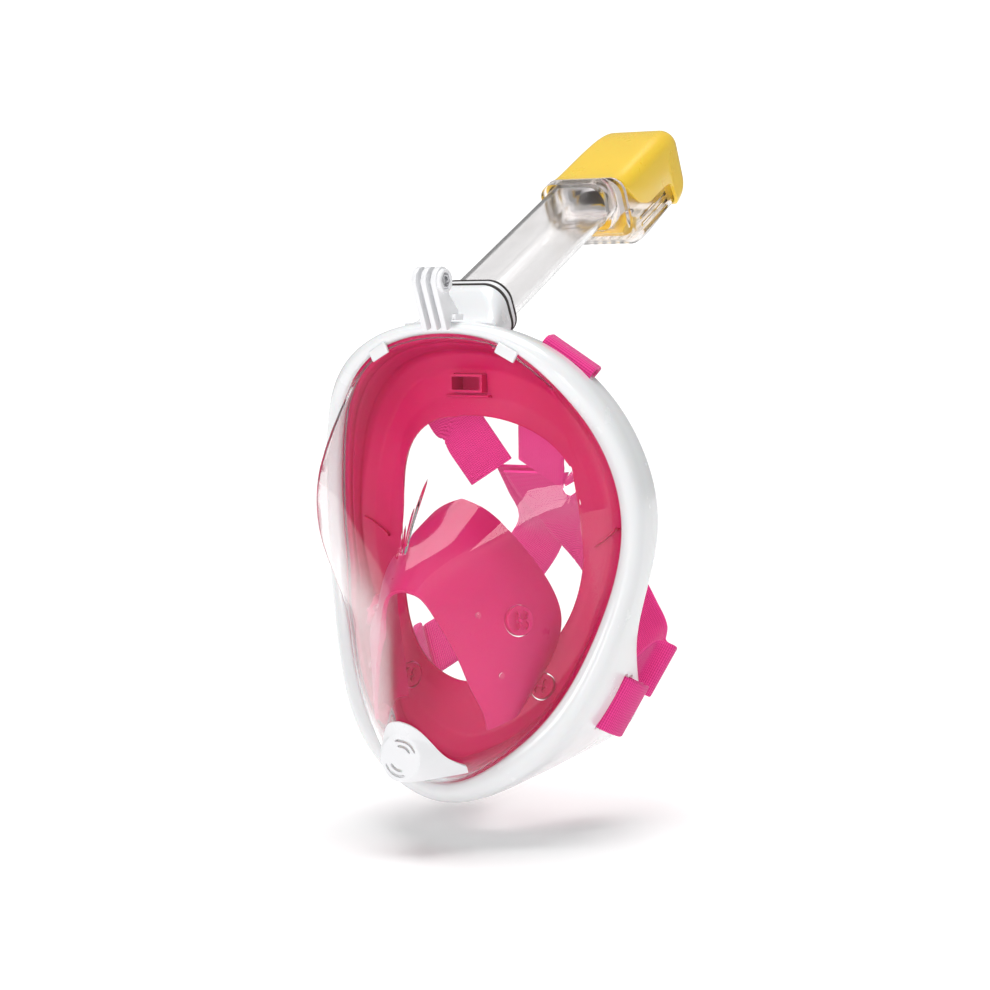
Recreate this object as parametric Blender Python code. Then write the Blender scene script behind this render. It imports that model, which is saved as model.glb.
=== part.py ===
"""Full face snorkel mask, worn upright: +Z up, the lens faces -Y, +X is the wearer's left.

The drawing below is in millimetres, with y = 0 in the plane of the rim's top point. At the end the
pieces move by ORIGIN, so that the model's origin is the middle of the face opening, in metres.
"""
import math

import bmesh
import bpy
import numpy as np
from mathutils import Matrix, Vector

MM = 0.001
ORIGIN = (0, 38, 0)  # the middle of the face opening, where the wearer's face comes
GAP = 0.35  # clearance between pieces that touch on the real mask

# ---------------------------------------------------------------- driving dimensions
# Half of the rim opening, top to chin, as (x, y, z): the rim wraps back round the cheeks.
RIM = ((0, 0, 120), (35, 0, 114), (63, 7, 93), (82, 24, 60), (89, 34, 14),
       (79, 27, -36), (62, 14, -76), (37, 3, -104), (0, -2, -121))
# At the same nine places: width of the rim face, depth of the frame wall, and how far the wall leans in.
RIM_WIDTH = (6.5, 8.0, 11.5, 11.5, 10.5, 11.5, 13.0, 14.0, 11.5)
WALL_DEPTH = (28, 30, 30, 28, 27, 31, 82, 103, 50)
WALL_LEAN = (4, 3.5, 2.5, 2.0, 1.5, 2.0, 3.5, 4.5, 5.5)
WALL_THICK = 2.6
# Half of the face opening of the skirt, top to chin, at the same nine places.
OPENING = ((0, 29, 75), (28, 33, 70), (50, 43, 52), (57, 48, 24), (58, 49, -4),
           (52, 45, -32), (38, 37, -54), (20, 29, -65), (0, 25, -69))
STATIONS = 48  # round the whole rim

LENS_THICK = 2.2
# Steepness of the lens wall behind the window's crease, forward per millimetre inwards.
LENS_WALL = (0.35, 0.45, 1.3, 4.2, 5.5, 4.5, 3.0, 3.5, 4.5)
LENS_CENTRE_Z = 5
SKIRT_THICK = 2.0

TUBE_LEAN = math.radians(62.5)  # from the vertical, backwards
TUBE_SEAM = (0, 32, 131.5)  # middle of the tube where it meets the socket
TUBE_SIZE = (38, 26)  # across and through
TUBE_WALL = 2.0
TUBE_END = 146  # along the tube, from the seam
SPIGOT = 7  # part of the tube inside the socket

# The head, along the tube from the seam: width, top face and underside from the tube's middle.
HEAD = ((134, 43, 15.5, -15.5), (140, 45, 15, -16), (146, 49, 13.5, -20), (150, 52, 12, -25),
        (155, 52, 11.3, -33), (161, 52, 11, -38), (200, 52, 11, -38), (217, 51, 10.5, -37.5),
        (227, 49, 9, -35), (233, 44, 5.5, -30), (236, 36, 1, -24))
HEAD_RADIUS = 9
CAP_START = 151

PURGE_PLACE = (0, -101)  # x, z of the purge valve in the chin of the lens
PURGE_RADIUS = 11.4
STRAP_WIDTH = 32
STRAP_THICK = 1.6
SLOT_WIDTH = 5.4

# The middle of the lens, in front of x = 0: how far forward it stands at these heights.
FORWARD_STEP = 20.0
FORWARD_FROM = 125.0
FORWARD = (0, 9, 16, 23, 29.5, 35.5, 41.5, 45, 46.5, 46.5, 45, 41.5, 36, 30)

# A strap's slot: its station, its distance forwards of the rear edge and along it, and its direction.
SLOTS = {"upper": (5, 9, 0, None), "lower": (17, 26, -9, (-0.288, -0.241, -0.928))}
SECOND_SLOT = 9  # behind the first of the lower strap

PORT = (20, 10)  # the air port in the skirt, across and up
PORT_Z = 93
EXHALE_RADIUS = 7
INHALE_RADIUS = 8

# The nose hood, half, from the bridge of the nose down the cheek: its rear edge in x, y, z,
# and the x, z of its front edge, which follows the inside of the lens.
HOOD_REAR = ((0, 20, 31), (17, 21, 24), (34, 24, 8), (47, 29, -10), (54, 33, -30), (50, 33, -50),
             (42, 28, -68), (35, 20, -80))
HOOD_FRONT = ((0, -13), (9, -16), (15, -25), (20, -38), (25, -52), (29, -66), (33, -78), (34, -88))
HOOD_STEPS = 21  # odd, so that one row runs down the middle
HOOD_COLUMNS = 5
HOOD_THICK = 1.8
LENS_CLEARANCE = 4.4  # along y, from the outside of the lens to the front edge of the hood
PIN_PLACES = ((14, 3), (17, 3), (6, 3), (3, 3))

# The purge cover: half of its top edge over the snout, as x and z, and its lowest edge.
COVER_TOP = ((0, -81), (5, -82.5), (10, -87), (15, -94.5), (20, -101.5), (25, -105.5))
COVER_BOTTOM = ((0, -112), (5, -111.8), (10, -111.2), (15, -110.2), (20, -109.4), (25, -108.6))
COVER_THICK = 1.6
DOME_RADIUS = 12.0
DOME_STAND = 3.4  # how far the flat of the dome stands in front of the lens

FIN_COUNT, FIN_THICK, FIN_PITCH = 3, 3.0, 6.1
FIN_RADIUS = 7.5
FIN_AXIS = (-12, 147.5)  # y, z of the cross hole
FIN_HOLE = 5.2
FIN_FOOT = ((-5.5, 140.5), (3.5, 132.5), (4.5, 127.4), (-3.4, 127.4), (-4.2, 122.8), (-8.0, 121.5))
NUT_ACROSS = 9.2  # across the corners of the M5 nut

HOUSING_WALL = 2.0
CAP_WALL = 1.8
GRILLE_SLOTS, GRILLE_PITCH = 5, 6.0
# What is cut away from the cap, as distance under the tube's middle and along the tube.
CAP_CUT = ((60, CAP_START - 20), (60, 224), (39, 224), (34, 215), (28, 212), (20, 210), (16.7, 203),
           (16, 190), (15.5, 176), (12, 167), (5.3, 160), (-3, 154), (-12, 150.6), (-22, 150),
           (-22, CAP_START - 20))
FLOAT_HINGE = (14, 160)  # under the tube's middle, along the tube
FLOAT_OPEN = math.radians(28)

# Each strap from inside the frame out through its slot and back, as (out, back, along) of the slot.
UPPER_LOOP = ((-6, 8, 0), (-6, 3.5, 0), (-3.4, 0, 0), (2, 0, 0), (4, 2.5, 0), (4, 6, 0), (3, 12.6, 0))
# The lower strap makes a loose loop over its bar, comes back in through the second slot,
# and folds once more behind the frame.
LOWER_LOOP = ((-6, -8, 0), (-6, -2, 0), (-4, 0, 0), (2.6, 0, 0), (5, 2, 0), (7.8, 8, 0), (9, 15, 0),
              (8, 19.5, 0), (5.6, 17.5, 0), (5.2, 12, 0), (2.6, 9, 0), (-4, 9, 0), (-6.5, 13, -2),
              (-7, 22, -9), (-7.5, 31, -17), (-6, 39, -23), (1, 42, -24), (2.5, 46, -24), (0, 49, -24),
              (-4.5, 47, -24))
# Points on the straps' way behind the head and the direction of their width there, on the +X side.
UPPER_RUN = (((46, 48, 100), (0.6, 0.3, -0.75)), ((36, 54, 87), (0.8, 0.1, -0.55)),
             ((27, 61, 70), (0.85, 0.07, -0.5)), ((16, 79.5, 42), (0.85, 0.07, -0.5)))
LOWER_RUN = (((63, 121, -57), (-0.6, -0.3, -0.75)), ((52, 130, -44), (-0.77, -0.04, -0.64)),
             ((36, 137, -24), (-0.78, 0, -0.62)), ((20, 137, -4), (-0.85, 0.05, -0.5)),
             ((9, 122, 12), (-1, 0, -0.1)), ((5, 103, 27), (-1, 0, 0)), ((3.5, 87, 42), (-1, 0, 0)))


# ---------------------------------------------------------------- curves and surfaces
def mirrored(half, sign=-1):
    """The whole ring of values from the half on the +X side, top to chin."""
    half = np.array(half, float)
    other = half[-2:0:-1].copy()
    if half.ndim == 2:
        other[:, 0] *= sign
    return np.concatenate([half, other])


def ring(values, count=STATIONS):
    """count values on the smooth closed curve through these, a cyclic cubic spline."""
    knots = np.array(values, float)
    n = len(knots)
    ahead, behind = np.roll(knots, -1, 0), np.roll(knots, 1, 0)
    system = 4 * np.eye(n) + np.roll(np.eye(n), 1, 0) + np.roll(np.eye(n), -1, 0)
    bend = np.linalg.solve(system, 6 * (ahead - 2 * knots + behind))
    at = np.arange(count) * n / count
    first = at.astype(int)
    t = (at - first).reshape((-1,) + (1,) * (knots.ndim - 1))
    second = (first + 1) % n
    straight = (1 - t) * knots[first] + t * knots[second]
    return (straight + ((1 - t) ** 3 - (1 - t)) * bend[first] / 6
            + (t ** 3 - t) * bend[second] / 6)


def line(values, at):
    """The natural cubic spline through values at 0, 1, 2, ..., read at these places."""
    knots = np.array(values, float)
    n = len(knots)
    system = np.eye(n)
    push = np.zeros_like(knots)
    for i in range(1, n - 1):
        system[i, i - 1:i + 2] = 1, 4, 1
        push[i] = 6 * (knots[i + 1] - 2 * knots[i] + knots[i - 1])
    bend = np.linalg.solve(system, push)
    at = np.asarray(at, float)
    first = np.clip(at.astype(int), 0, n - 2)
    t = (at - first).reshape(at.shape + (1,) * (knots.ndim - 1))
    straight = (1 - t) * knots[first] + t * knots[first + 1]
    return (straight + ((1 - t) ** 3 - (1 - t)) * bend[first] / 6
            + (t ** 3 - t) * bend[first + 1] / 6)


def unit(vectors):
    return vectors / np.linalg.norm(vectors, axis=-1, keepdims=True)


RIM_RING = ring(mirrored(RIM))
OPENING_RING = ring(mirrored(OPENING))
WIDTH_RING = ring(mirrored(RIM_WIDTH))
DEPTH_RING = ring(mirrored(WALL_DEPTH))
LEAN_RING = ring(mirrored(WALL_LEAN))
TANGENT = np.roll(RIM_RING, -1, 0) - np.roll(RIM_RING, 1, 0)
OUTWARD = unit(np.stack([-TANGENT[:, 2], 0 * TANGENT[:, 0], TANGENT[:, 0]], 1))
LENS_WALL_RING = ring(mirrored(LENS_WALL))


def off_rim(k, out, back):
    """The point this far outwards of the rim and this far behind it, at station k."""
    return RIM_RING[k] + OUTWARD[k] * out + np.array([0, back, 0])


def blend(z, high, low, top=50.0, bottom=-45.0):
    """high above top, low below bottom, and a smooth change between them."""
    t = np.clip((top - z) / (top - bottom), 0, 1)
    t = t * t * (3 - 2 * t)
    return high + (low - high) * t


def lens_front(x, z):
    """y of the lens inside its crease: a wide visor above, a bow-shaped snout below."""
    forward = line(FORWARD, (FORWARD_FROM - z) / FORWARD_STEP)
    slope = blend(z, 0.83, 1.03)
    nose = blend(z, 60, 9)
    return -forward + np.sqrt((slope * x) ** 2 + nose ** 2) - nose


def lens_y(x, z):
    """y of the outer surface of the lens at any place inside the rim."""
    x, z = np.asarray(x, float), np.asarray(z, float)
    centre = np.array([0, LENS_CENTRE_Z])
    rays = RIM_RING[:, [0, 2]] - centre
    angle = np.unwrap(np.arctan2(rays[:, 0], rays[:, 1]))
    reach = np.linalg.norm(rays, axis=1)
    square = (OUTWARD[:, [0, 2]] * unit(rays)).sum(1)
    here = np.mod(np.arctan2(x, z - LENS_CENTRE_Z), 2 * math.pi)
    angle, laps = np.append(angle, 2 * math.pi), np.arange(STATIONS + 1) % STATIONS

    def read(values):
        return np.interp(here, angle, values[laps])

    far, across = read(reach), read(square)
    inwards = np.clip(1 - np.hypot(x, z - LENS_CENTRE_Z) / far, 0, 1)
    rim_y, steep = read(RIM_RING[:, 1]), read(LENS_WALL_RING)
    wall = rim_y - steep * inwards * far * across
    front = lens_front(x, z)
    soft = blend(z, 1.5, 7.0, -40.0, -100.0)

    def joined(a, b):
        return (a + b + np.sqrt((a - b) ** 2 + soft ** 2)) / 2

    edge_x, edge_z = read(RIM_RING[:, 0]), read(RIM_RING[:, 2])
    excess = joined(lens_front(edge_x, edge_z), rim_y) - rim_y
    return joined(front, wall) - excess * (1 - inwards) ** 8


def crease_share(k):
    """How far in from the rim, as a share of the ray, the lens wall meets the window."""
    near, far = 0.0, 0.5
    ray = np.array([0, LENS_CENTRE_Z]) - RIM_RING[k, [0, 2]]
    reach = np.linalg.norm(ray)
    across = -(OUTWARD[k, [0, 2]] * ray).sum() / reach
    for _ in range(24):
        share = (near + far) / 2
        x, z = RIM_RING[k, [0, 2]] + ray * share
        wall = RIM_RING[k, 1] - LENS_WALL_RING[k] * share * reach * across
        if wall > lens_front(x, z):
            near = share
        else:
            far = share
    return max(near, 0.07)


# ---------------------------------------------------------------- meshes
def material(name, colour, rough, metal=0.0, clear=0.0):
    made = bpy.data.materials.get(name) or bpy.data.materials.new(name)
    made.use_nodes = True
    shader = made.node_tree.nodes["Principled BSDF"]
    shader.inputs["Base Color"].default_value = (*colour, 1)
    shader.inputs["Roughness"].default_value = rough
    shader.inputs["Metallic"].default_value = metal
    shader.inputs["Transmission Weight"].default_value = clear
    return made


WHITE = material("white_plastic", (0.86, 0.87, 0.88), 0.25)
CLEAR = material("clear_plastic", (0.95, 0.95, 0.95), 0.05, 0.0, 1.0)
PINK = material("pink_silicone", (0.83, 0.06, 0.22), 0.4)
STRAP = material("pink_elastic", (0.78, 0.05, 0.28), 0.8)
YELLOW = material("yellow_plastic", (0.95, 0.72, 0.08), 0.3)
BLACK = material("black_rubber", (0.03, 0.03, 0.03), 0.6)
VALVE = material("valve_silicone", (0.85, 0.85, 0.82), 0.4)
STEEL = material("steel", (0.6, 0.6, 0.62), 0.3, 1.0)


def add(name, points, faces, finish, parent=None):
    """A closed mesh object from points in millimetres."""
    shape = bmesh.new()
    corners = [shape.verts.new(Vector(map(float, p)) * MM) for p in points]
    for face in faces:
        shape.faces.new([corners[i] for i in face])
    bmesh.ops.recalc_face_normals(shape, faces=shape.faces)
    mesh = bpy.data.meshes.new(name)
    shape.to_mesh(mesh)
    shape.free()
    mesh.shade_smooth()
    mesh.set_sharp_from_angle(angle=math.radians(35))
    mesh.materials.append(finish)
    made = bpy.data.objects.new(name, mesh)
    bpy.context.scene.collection.objects.link(made)
    made.parent = parent
    return made


def grid_faces(rows, columns, wrap_rows, wrap_columns, start=0):
    """Quads between the points of a grid that is stored row by row."""
    faces = []
    for i in range(rows if wrap_rows else rows - 1):
        for j in range(columns if wrap_columns else columns - 1):
            a, b = i * columns + j, i * columns + (j + 1) % columns
            c = (i + 1) % rows * columns
            faces.append([start + a, start + b, start + c + (j + 1) % columns, start + c + j])
    return faces


def swept(name, grid, finish, parent=None):
    """A closed tube: each row is a closed section, and the rows close on themselves."""
    grid = np.array(grid, float)
    rows, columns = grid.shape[:2]
    return add(name, grid.reshape(-1, 3), grid_faces(rows, columns, True, True), finish, parent)


def lofted(name, sections, finish, parent=None):
    """A solid through sections of the same number of points, with flat ends."""
    sections = np.array(sections, float)
    rows, columns = sections.shape[:2]
    faces = grid_faces(rows, columns, False, True)
    faces.append(list(range(columns)))
    faces.append([(rows - 1) * columns + j for j in range(columns)])
    return add(name, sections.reshape(-1, 3), faces, finish, parent)


def grid_normals(grid, wrap):
    if wrap:
        along = np.roll(grid, -1, 0) - np.roll(grid, 1, 0)
    else:
        along = np.gradient(grid, axis=0)
    return unit(np.cross(along, np.gradient(grid, axis=1)))


def shell(name, grid, thick, finish, wrap=True, tip=None):
    """A sheet of this thickness on the grid's far side; with tip, the last column closes on it."""
    grid = np.array(grid, float)
    rows, columns = grid.shape[:2]
    other = grid + grid_normals(grid, wrap) * thick
    count = rows * columns
    faces = grid_faces(rows, columns, wrap, False) + grid_faces(rows, columns, wrap, False, count)
    points = [*grid.reshape(-1, 3), *other.reshape(-1, 3)]
    for i in range(rows if wrap else rows - 1):
        a, b = i * columns, (i + 1) % rows * columns
        faces.append([a, b, count + b, count + a])
        a, b = a + columns - 1, b + columns - 1
        if tip is None:
            faces.append([a, b, count + b, count + a])
        else:
            faces.append([a, b, 2 * count])
            faces.append([count + a, count + b, 2 * count + 1])
    if tip is not None:
        points += [np.array(tip, float), np.array(tip, float) + [0, abs(thick), 0]]
    if not wrap:
        for j in range(columns - 1):
            for row in (0, rows - 1):
                a = row * columns + j
                faces.append([a, a + 1, count + a + 1, count + a])
    return add(name, points, faces, finish)


def rounded_box(size, radius, steps=2):
    """Corner-rounded rectangle in x and y, anticlockwise from the +X side."""
    points = []
    for corner, (sx, sy) in enumerate(((1, 1), (-1, 1), (-1, -1), (1, -1))):
        for i in range(steps + 1):
            angle = math.pi / 2 * (corner + i / steps)
            points.append((sx * (size[0] / 2 - radius) + radius * math.cos(angle),
                           sy * (size[1] / 2 - radius) + radius * math.sin(angle)))
    return points


def offset_box(z, width, top, bottom, radius):
    """A rounded section at z, from top to bottom measured from the tube's middle; -y is the top."""
    middle = -(top + bottom) / 2
    radius = min(radius, (top - bottom) / 2 - 0.3)
    return [(x, y + middle, z) for x, y in rounded_box((width, top - bottom), radius)]


def at_height(outline, z):
    return [(x, y, z) for x, y in outline]


def cutter(name, sections, parent=None):
    made = lofted(name, sections, WHITE, parent)
    made.hide_render = True
    made.display_type = "WIRE"
    return made


def circle(radius, sides, z, middle=(0, 0), turn=0.0):
    return [(middle[0] + radius * math.cos(turn + 2 * math.pi * i / sides),
             middle[1] + radius * math.sin(turn + 2 * math.pi * i / sides), z) for i in range(sides)]


def combine(target, other, operation):
    change = target.modifiers.new(operation.lower(), "BOOLEAN")
    change.operation = operation
    change.object = other
    other.hide_render = True
    other.display_type = "WIRE"


def cut(target, *tools):
    for tool in tools:
        combine(target, tool, "DIFFERENCE")


def empty(name, place, rotation=Matrix.Identity(3)):
    """An axis to hang pieces on: its own z is the axis."""
    made = bpy.data.objects.new(name, None)
    bpy.context.scene.collection.objects.link(made)
    made.matrix_world = Matrix.Translation(Vector(place) * MM) @ rotation.to_4x4()
    return made


def facing(direction):
    """A rotation whose z points this way."""
    return Vector(direction).to_track_quat("Z", "Y").to_matrix()


def box(low, high):
    return [[(low[0], low[1], z), (high[0], low[1], z), (high[0], high[1], z), (low[0], high[1], z)]
            for z in (low[2], high[2])]


# ---------------------------------------------------------------- the mask
def frame_section(k):
    width, depth, lean = WIDTH_RING[k], DEPTH_RING[k], LEAN_RING[k]
    middle = (depth + 6) / 2
    rear = width - lean
    return [(0, 2.8), (0, 0.8), (1.4, -1.2), (0.5 * width, -2.0), (0.85 * width, 0.6),
            (width, 5.0), (width - 0.3 * lean, middle), (rear, depth),
            (rear - WALL_THICK, depth), (width - 3.3 - 0.3 * lean, middle),
            (width - 3.3, 9.5), (width - 3.3, 2.8)]


REAR_EDGE = np.array([off_rim(k, WIDTH_RING[k] - LEAN_RING[k], DEPTH_RING[k]) for k in range(STATIONS)])


def edge_axes(k):
    """At the wall's rear edge: the directions along it, out of the wall, and forwards within the wall."""
    along = unit(REAR_EDGE[(k + 1) % STATIONS] - REAR_EDGE[k - 1])
    out = unit(np.cross([0, 1, 0], along))
    out *= np.sign((out * OUTWARD[k]).sum())
    forward = np.cross(along, out)
    return along, out, forward * -np.sign(forward[1])


def by_edge(k, out, forward, along=0.0):
    """The point this far out of and in front of the wall's rear edge at station k."""
    axes = edge_axes(k)
    return REAR_EDGE[k] + axes[1] * out + axes[2] * forward + axes[0] * along


def slot_axes(place):
    """The slot's middle on the wall, and the directions along it, out of the wall, and backwards."""
    k, forward, along, aim = SLOTS[place]
    axes = edge_axes(k)
    width = unit(aim - axes[1] * np.dot(aim, axes[1])) if aim else axes[0]
    back = np.cross(axes[1], width)
    return by_edge(k, 0, forward, along), width, axes[1], back * np.sign(back[1])


def by_slot(place, out, back, along=0.0):
    middle, width, outward, backward = slot_axes(place)
    return middle + outward * out + backward * back + width * along


def strap_slot(place, side, back=0.0):
    """A cutter through the frame wall for a strap."""
    half, length = SLOT_WIDTH / 2, STRAP_WIDTH + 3
    sections = [[by_slot(place, end, back + b * half, a * length / 2) * [side, 1, 1]
                 for a, b in ((-1, -1), (1, -1), (1, 1), (-1, 1))] for end in (-9, 8)]
    return cutter(f"slot_cutter_{place}_{side}_{back}", sections)


def make_frame(tube_axis):
    frame = swept("main_frame", [[off_rim(k, *p) for p in frame_section(k)] for k in range(STATIONS)],
                  WHITE)
    # Along the tube, then width, top face and underside from the tube's middle.
    neck_steps = ((-0.4, 45, 16.5, -16.5), (-6, 45.5, 15.5, -15), (-13, 48, 10, -9), (-20, 52, 5.5, -4),
                  (-25, 57, 6.4, 3.7))
    neck = lofted("neck_form", [offset_box(*step, radius=2 + abs(step[2] - step[3]) / 8)
                                for step in neck_steps], WHITE, tube_axis)
    combine(frame, neck, "UNION")
    hole = (TUBE_SIZE[0] + 2 * GAP, TUBE_SIZE[1] + 2 * GAP)
    cut(frame, cutter("neck_cutter", [at_height(rounded_box(hole, 6), z) for z in (-SPIGOT - 0.7, 10)],
                      tube_axis))
    cut(frame, cutter("air_cutter", [offset_box(z, 26, 4, -10, 3) for z in (-11, 5)], tube_axis))
    cut(frame, cutter("drop_cutter", box((-13, 29, 108), (13, 36, 127))))
    for side in (1, -1):
        for place, back in (("upper", 0), ("lower", 0), ("lower", SECOND_SLOT)):
            cut(frame, strap_slot(place, side, back))
    return frame


def lens_grid():
    """Outer surface, from the edge clamped in the frame to just before the middle."""
    grid = []
    for k in range(STATIONS):
        crease = crease_share(k)
        shares = [0.5 * crease, crease] + [crease + (1 - crease) * f for f in (0.14, 0.34, 0.58, 0.8)]
        row = [off_rim(k, WIDTH_RING[k] - 3.7, 3.15), off_rim(k, -0.4, 3.15), off_rim(k, -0.4, -0.5)]
        start, ray = row[-1][[0, 2]], np.array([0, LENS_CENTRE_Z]) - row[-1][[0, 2]]
        for share in shares:
            x, z = start + ray * share
            row.append(np.array([x, float(lens_y(x, z)), z]))
        grid.append(row)
    return grid


def make_lens():
    tip = (0, float(lens_y(0, LENS_CENTRE_Z)), LENS_CENTRE_Z)
    lens = shell("lens", lens_grid(), LENS_THICK, CLEAR, tip=tip)
    hole = empty("lens_hole_axis", (PURGE_PLACE[0], -30, PURGE_PLACE[1]), facing((0, -1, 0)))
    cut(lens, cutter("lens_hole_cutter", [circle(PURGE_RADIUS + 0.6, 20, z) for z in (-8, 40)], hole))
    return lens


def skirt_grid():
    """Front surface of the skirt, from the clamped edge to its curled lip."""
    grid = []
    for k in range(STATIONS):
        rim, lip = RIM_RING[k], OPENING_RING[k]

        def between(share, depth_share, more=0.0):
            place = rim + (lip - rim) * share
            place[1] = rim[1] + 5.8 + (lip[1] - rim[1] - 5.8) * depth_share + more
            return place

        row = [off_rim(k, WIDTH_RING[k] - 3.9, 5.8), off_rim(k, -3.2, 5.8),
               between(0.14, 0.28), between(0.24, 0.68, 1.5),
               between(0.42, 0.94, 1.0), between(0.75, 1.0, 0.5)]
        outward = unit((rim - lip) * [1, 0, 1])
        row += [lip, lip + outward * 1.5 + [0, 4, 0], lip + outward * 8 + [0, 9.5, 0]]
        grid.append(row)
    return grid


def make_skirt():
    skirt = shell("face_skirt", skirt_grid(), SKIRT_THICK, PINK)
    cut(skirt, cutter("port_cutter", box((-PORT[0] / 2 - GAP, 0, PORT_Z - PORT[1] / 2 - GAP),
                                         (PORT[0] / 2 + GAP, 60, PORT_Z + PORT[1] / 2 + GAP))))
    for side in (1, -1):
        axis = empty(f"cheek_hole_axis_{side}", *cheek_place(side))
        opening = [circle(EXHALE_RADIUS + 2 * GAP, 20, z) for z in (-8, 8)]
        cut(skirt, cutter(f"cheek_cutter_{side}", opening, axis))
    return skirt


def cheek_place(side):
    """Middle and rotation of the exhale valve, in the skirt panel beside the mouth."""
    grid = np.array(skirt_grid())
    normals = grid_normals(grid, True)
    k = 19 if side == 1 else STATIONS - 19
    place = (grid[k, 4] + grid[k, 5]) / 2 + normals[k, 4] * SKIRT_THICK / 2
    return place, facing(Vector(normals[k, 4]))


def hood_grid():
    rows = []
    half = (HOOD_STEPS - 1) // 2
    for i in range(HOOD_STEPS):
        side = 1 if i >= half else -1
        at = abs(i - half) / half * (len(HOOD_REAR) - 1)
        rear = line(HOOD_REAR, at) * [side, 1, 1]
        x, z = line(HOOD_FRONT, at) * [side, 1]
        front = np.array([x, float(lens_y(x, z)) + LENS_CLEARANCE, z])
        row = []
        for j in range(HOOD_COLUMNS):
            share = j / (HOOD_COLUMNS - 1)
            swell = 5 * math.sin(math.pi * share)
            row.append(rear + (front - rear) * share + np.array([0.8 * side * min(at, 2), 0, 0.35]) * swell)
        rows.append(row)
    return np.array(rows)


def hood_place(row, column):
    """A place on the hood's outside and the rotation whose z points out of it."""
    grid = hood_grid()
    normals = -grid_normals(grid, False)
    return grid[row, column], facing(Vector(normals[row, column]))


def make_hood():
    hood = shell("nose_hood", hood_grid(), HOOD_THICK, PINK, wrap=False)
    for side in (1, -1):
        place, turn = inhale_place(side)
        axis = empty(f"hood_hole_axis_{side}", place, turn)
        opening = [circle(INHALE_RADIUS + 2 * GAP, 20, z) for z in (-12, 12)]
        cut(hood, cutter(f"hood_cutter_{side}", opening, axis))
    for number, (row, column) in enumerate(PIN_PLACES, 1):
        place, turn = hood_place(row, column)
        axis = empty(f"hood_pin_{number}_axis", place, turn)
        turned(f"hood_pin_{number}", ((0, 0.4), (1.6, 0.4), (1.6, 1.2), (1.0, 1.8), (0, 1.8)), 8, CLEAR, axis)
    return hood


def inhale_place(side):
    """The inhale valve's place, facing into the hood, where the disc lifts."""
    place, turn = hood_place((HOOD_STEPS - 1) // 2 + 5 * side, 2)
    return place, turn @ Matrix.Rotation(math.pi, 3, "X")


def turned(name, profile, sides, finish, parent=None):
    """A solid of revolution about z from (radius, z) points; radius 0 ends it on the axis."""
    points, faces, rows = [], [], []
    for radius, z in profile:
        if radius == 0:
            rows.append([len(points)])
            points.append((0, 0, z))
        else:
            rows.append(list(range(len(points), len(points) + sides)))
            points += circle(radius, sides, z)
    closed = profile[0][0] != 0
    pairs = list(zip(rows, rows[1:] + rows[:1])) if closed else list(zip(rows, rows[1:]))
    for low, high in pairs:
        for i in range(sides):
            j = (i + 1) % sides
            face = [low[i % len(low)], low[j % len(low)], high[j % len(high)], high[i % len(high)]]
            faces.append(list(dict.fromkeys(face)))
    return add(name, points, faces, finish, parent)


def make_valve(name, radius, axis, seat_finish=CLEAR, depth=4.0):
    """A one-way valve on the axis: a seat with a spider of four windows, and a silicone disc above it."""
    bore = radius - 1.4
    seat = turned(f"{name}_seat", ((0, -depth / 2), (radius, -depth / 2), (radius, depth / 2),
                                   (bore, depth / 2), (bore, -depth / 2 + 1.6), (0, -depth / 2 + 1.6)),
                  20, seat_finish, axis)
    window = bore * 0.34
    for i in range(4):
        turn = math.pi / 2 * i + math.pi / 4
        middle = (bore * 0.56 * math.cos(turn), bore * 0.56 * math.sin(turn))
        tool = cutter(f"{name}_window_{i}", [circle(window, 8, z, middle) for z in (-depth, depth)], axis)
        cut(seat, tool)
    low = -depth / 2 + 1.6 + GAP
    turned(f"{name}_disc", ((0, low), (bore - 0.5, low), (bore - 0.5, low + 0.9), (0, low + 0.9)),
           20, VALVE, axis)
    return seat


def lens_normal(x, z, reach=0.5):
    """The direction out of the lens, towards the water."""
    slope_x = (lens_y(x + reach, z) - lens_y(x - reach, z)) / (2 * reach)
    slope_z = (lens_y(x, z + reach) - lens_y(x, z - reach)) / (2 * reach)
    return unit(np.array([float(slope_x), -1.0, float(slope_z)]))


def cover_grid(columns=8, spread=15):
    """Outer surface of the purge cover: it follows the snout and stands clear over the valve."""
    grid = []
    face = float(lens_y(*PURGE_PLACE)) - DOME_STAND
    for i in range(spread):
        share = 2 * i / (spread - 1) - 1
        at = abs(share) * (len(COVER_TOP) - 1)
        top, bottom = line(COVER_TOP, at), line(COVER_BOTTOM, at)
        x = top[0] * (1 if share >= 0 else -1)
        row = []
        for j in range(columns):
            z = top[1] + (bottom[1] - top[1]) * j / (columns - 1)
            skin = np.array([x, float(lens_y(x, z)), z]) + lens_normal(x, z) * (0.6 + COVER_THICK)
            beyond = max(0.0, math.hypot(skin[0] - PURGE_PLACE[0], skin[2] - PURGE_PLACE[1]) - DOME_RADIUS)
            skin[1] = min(skin[1], face + 1.6 * beyond)
            row.append(skin)
        grid.append(row)
    return np.array(grid)


def make_purge(axis):
    cover = shell("purge_cover", cover_grid(), COVER_THICK, WHITE, wrap=False)
    for number, (radius, middle) in enumerate(((9.5, 90), (6.5, 90), (9.5, 270), (6.5, 270)), 1):
        arc = 36 if radius < 8 else 44
        cut(cover, cutter(f"vent_{number}", arc_slot(radius, 1.5, middle, arc, (-14, 20)), axis))
    make_valve("purge_valve", PURGE_RADIUS, axis, CLEAR, 5.0)


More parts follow.
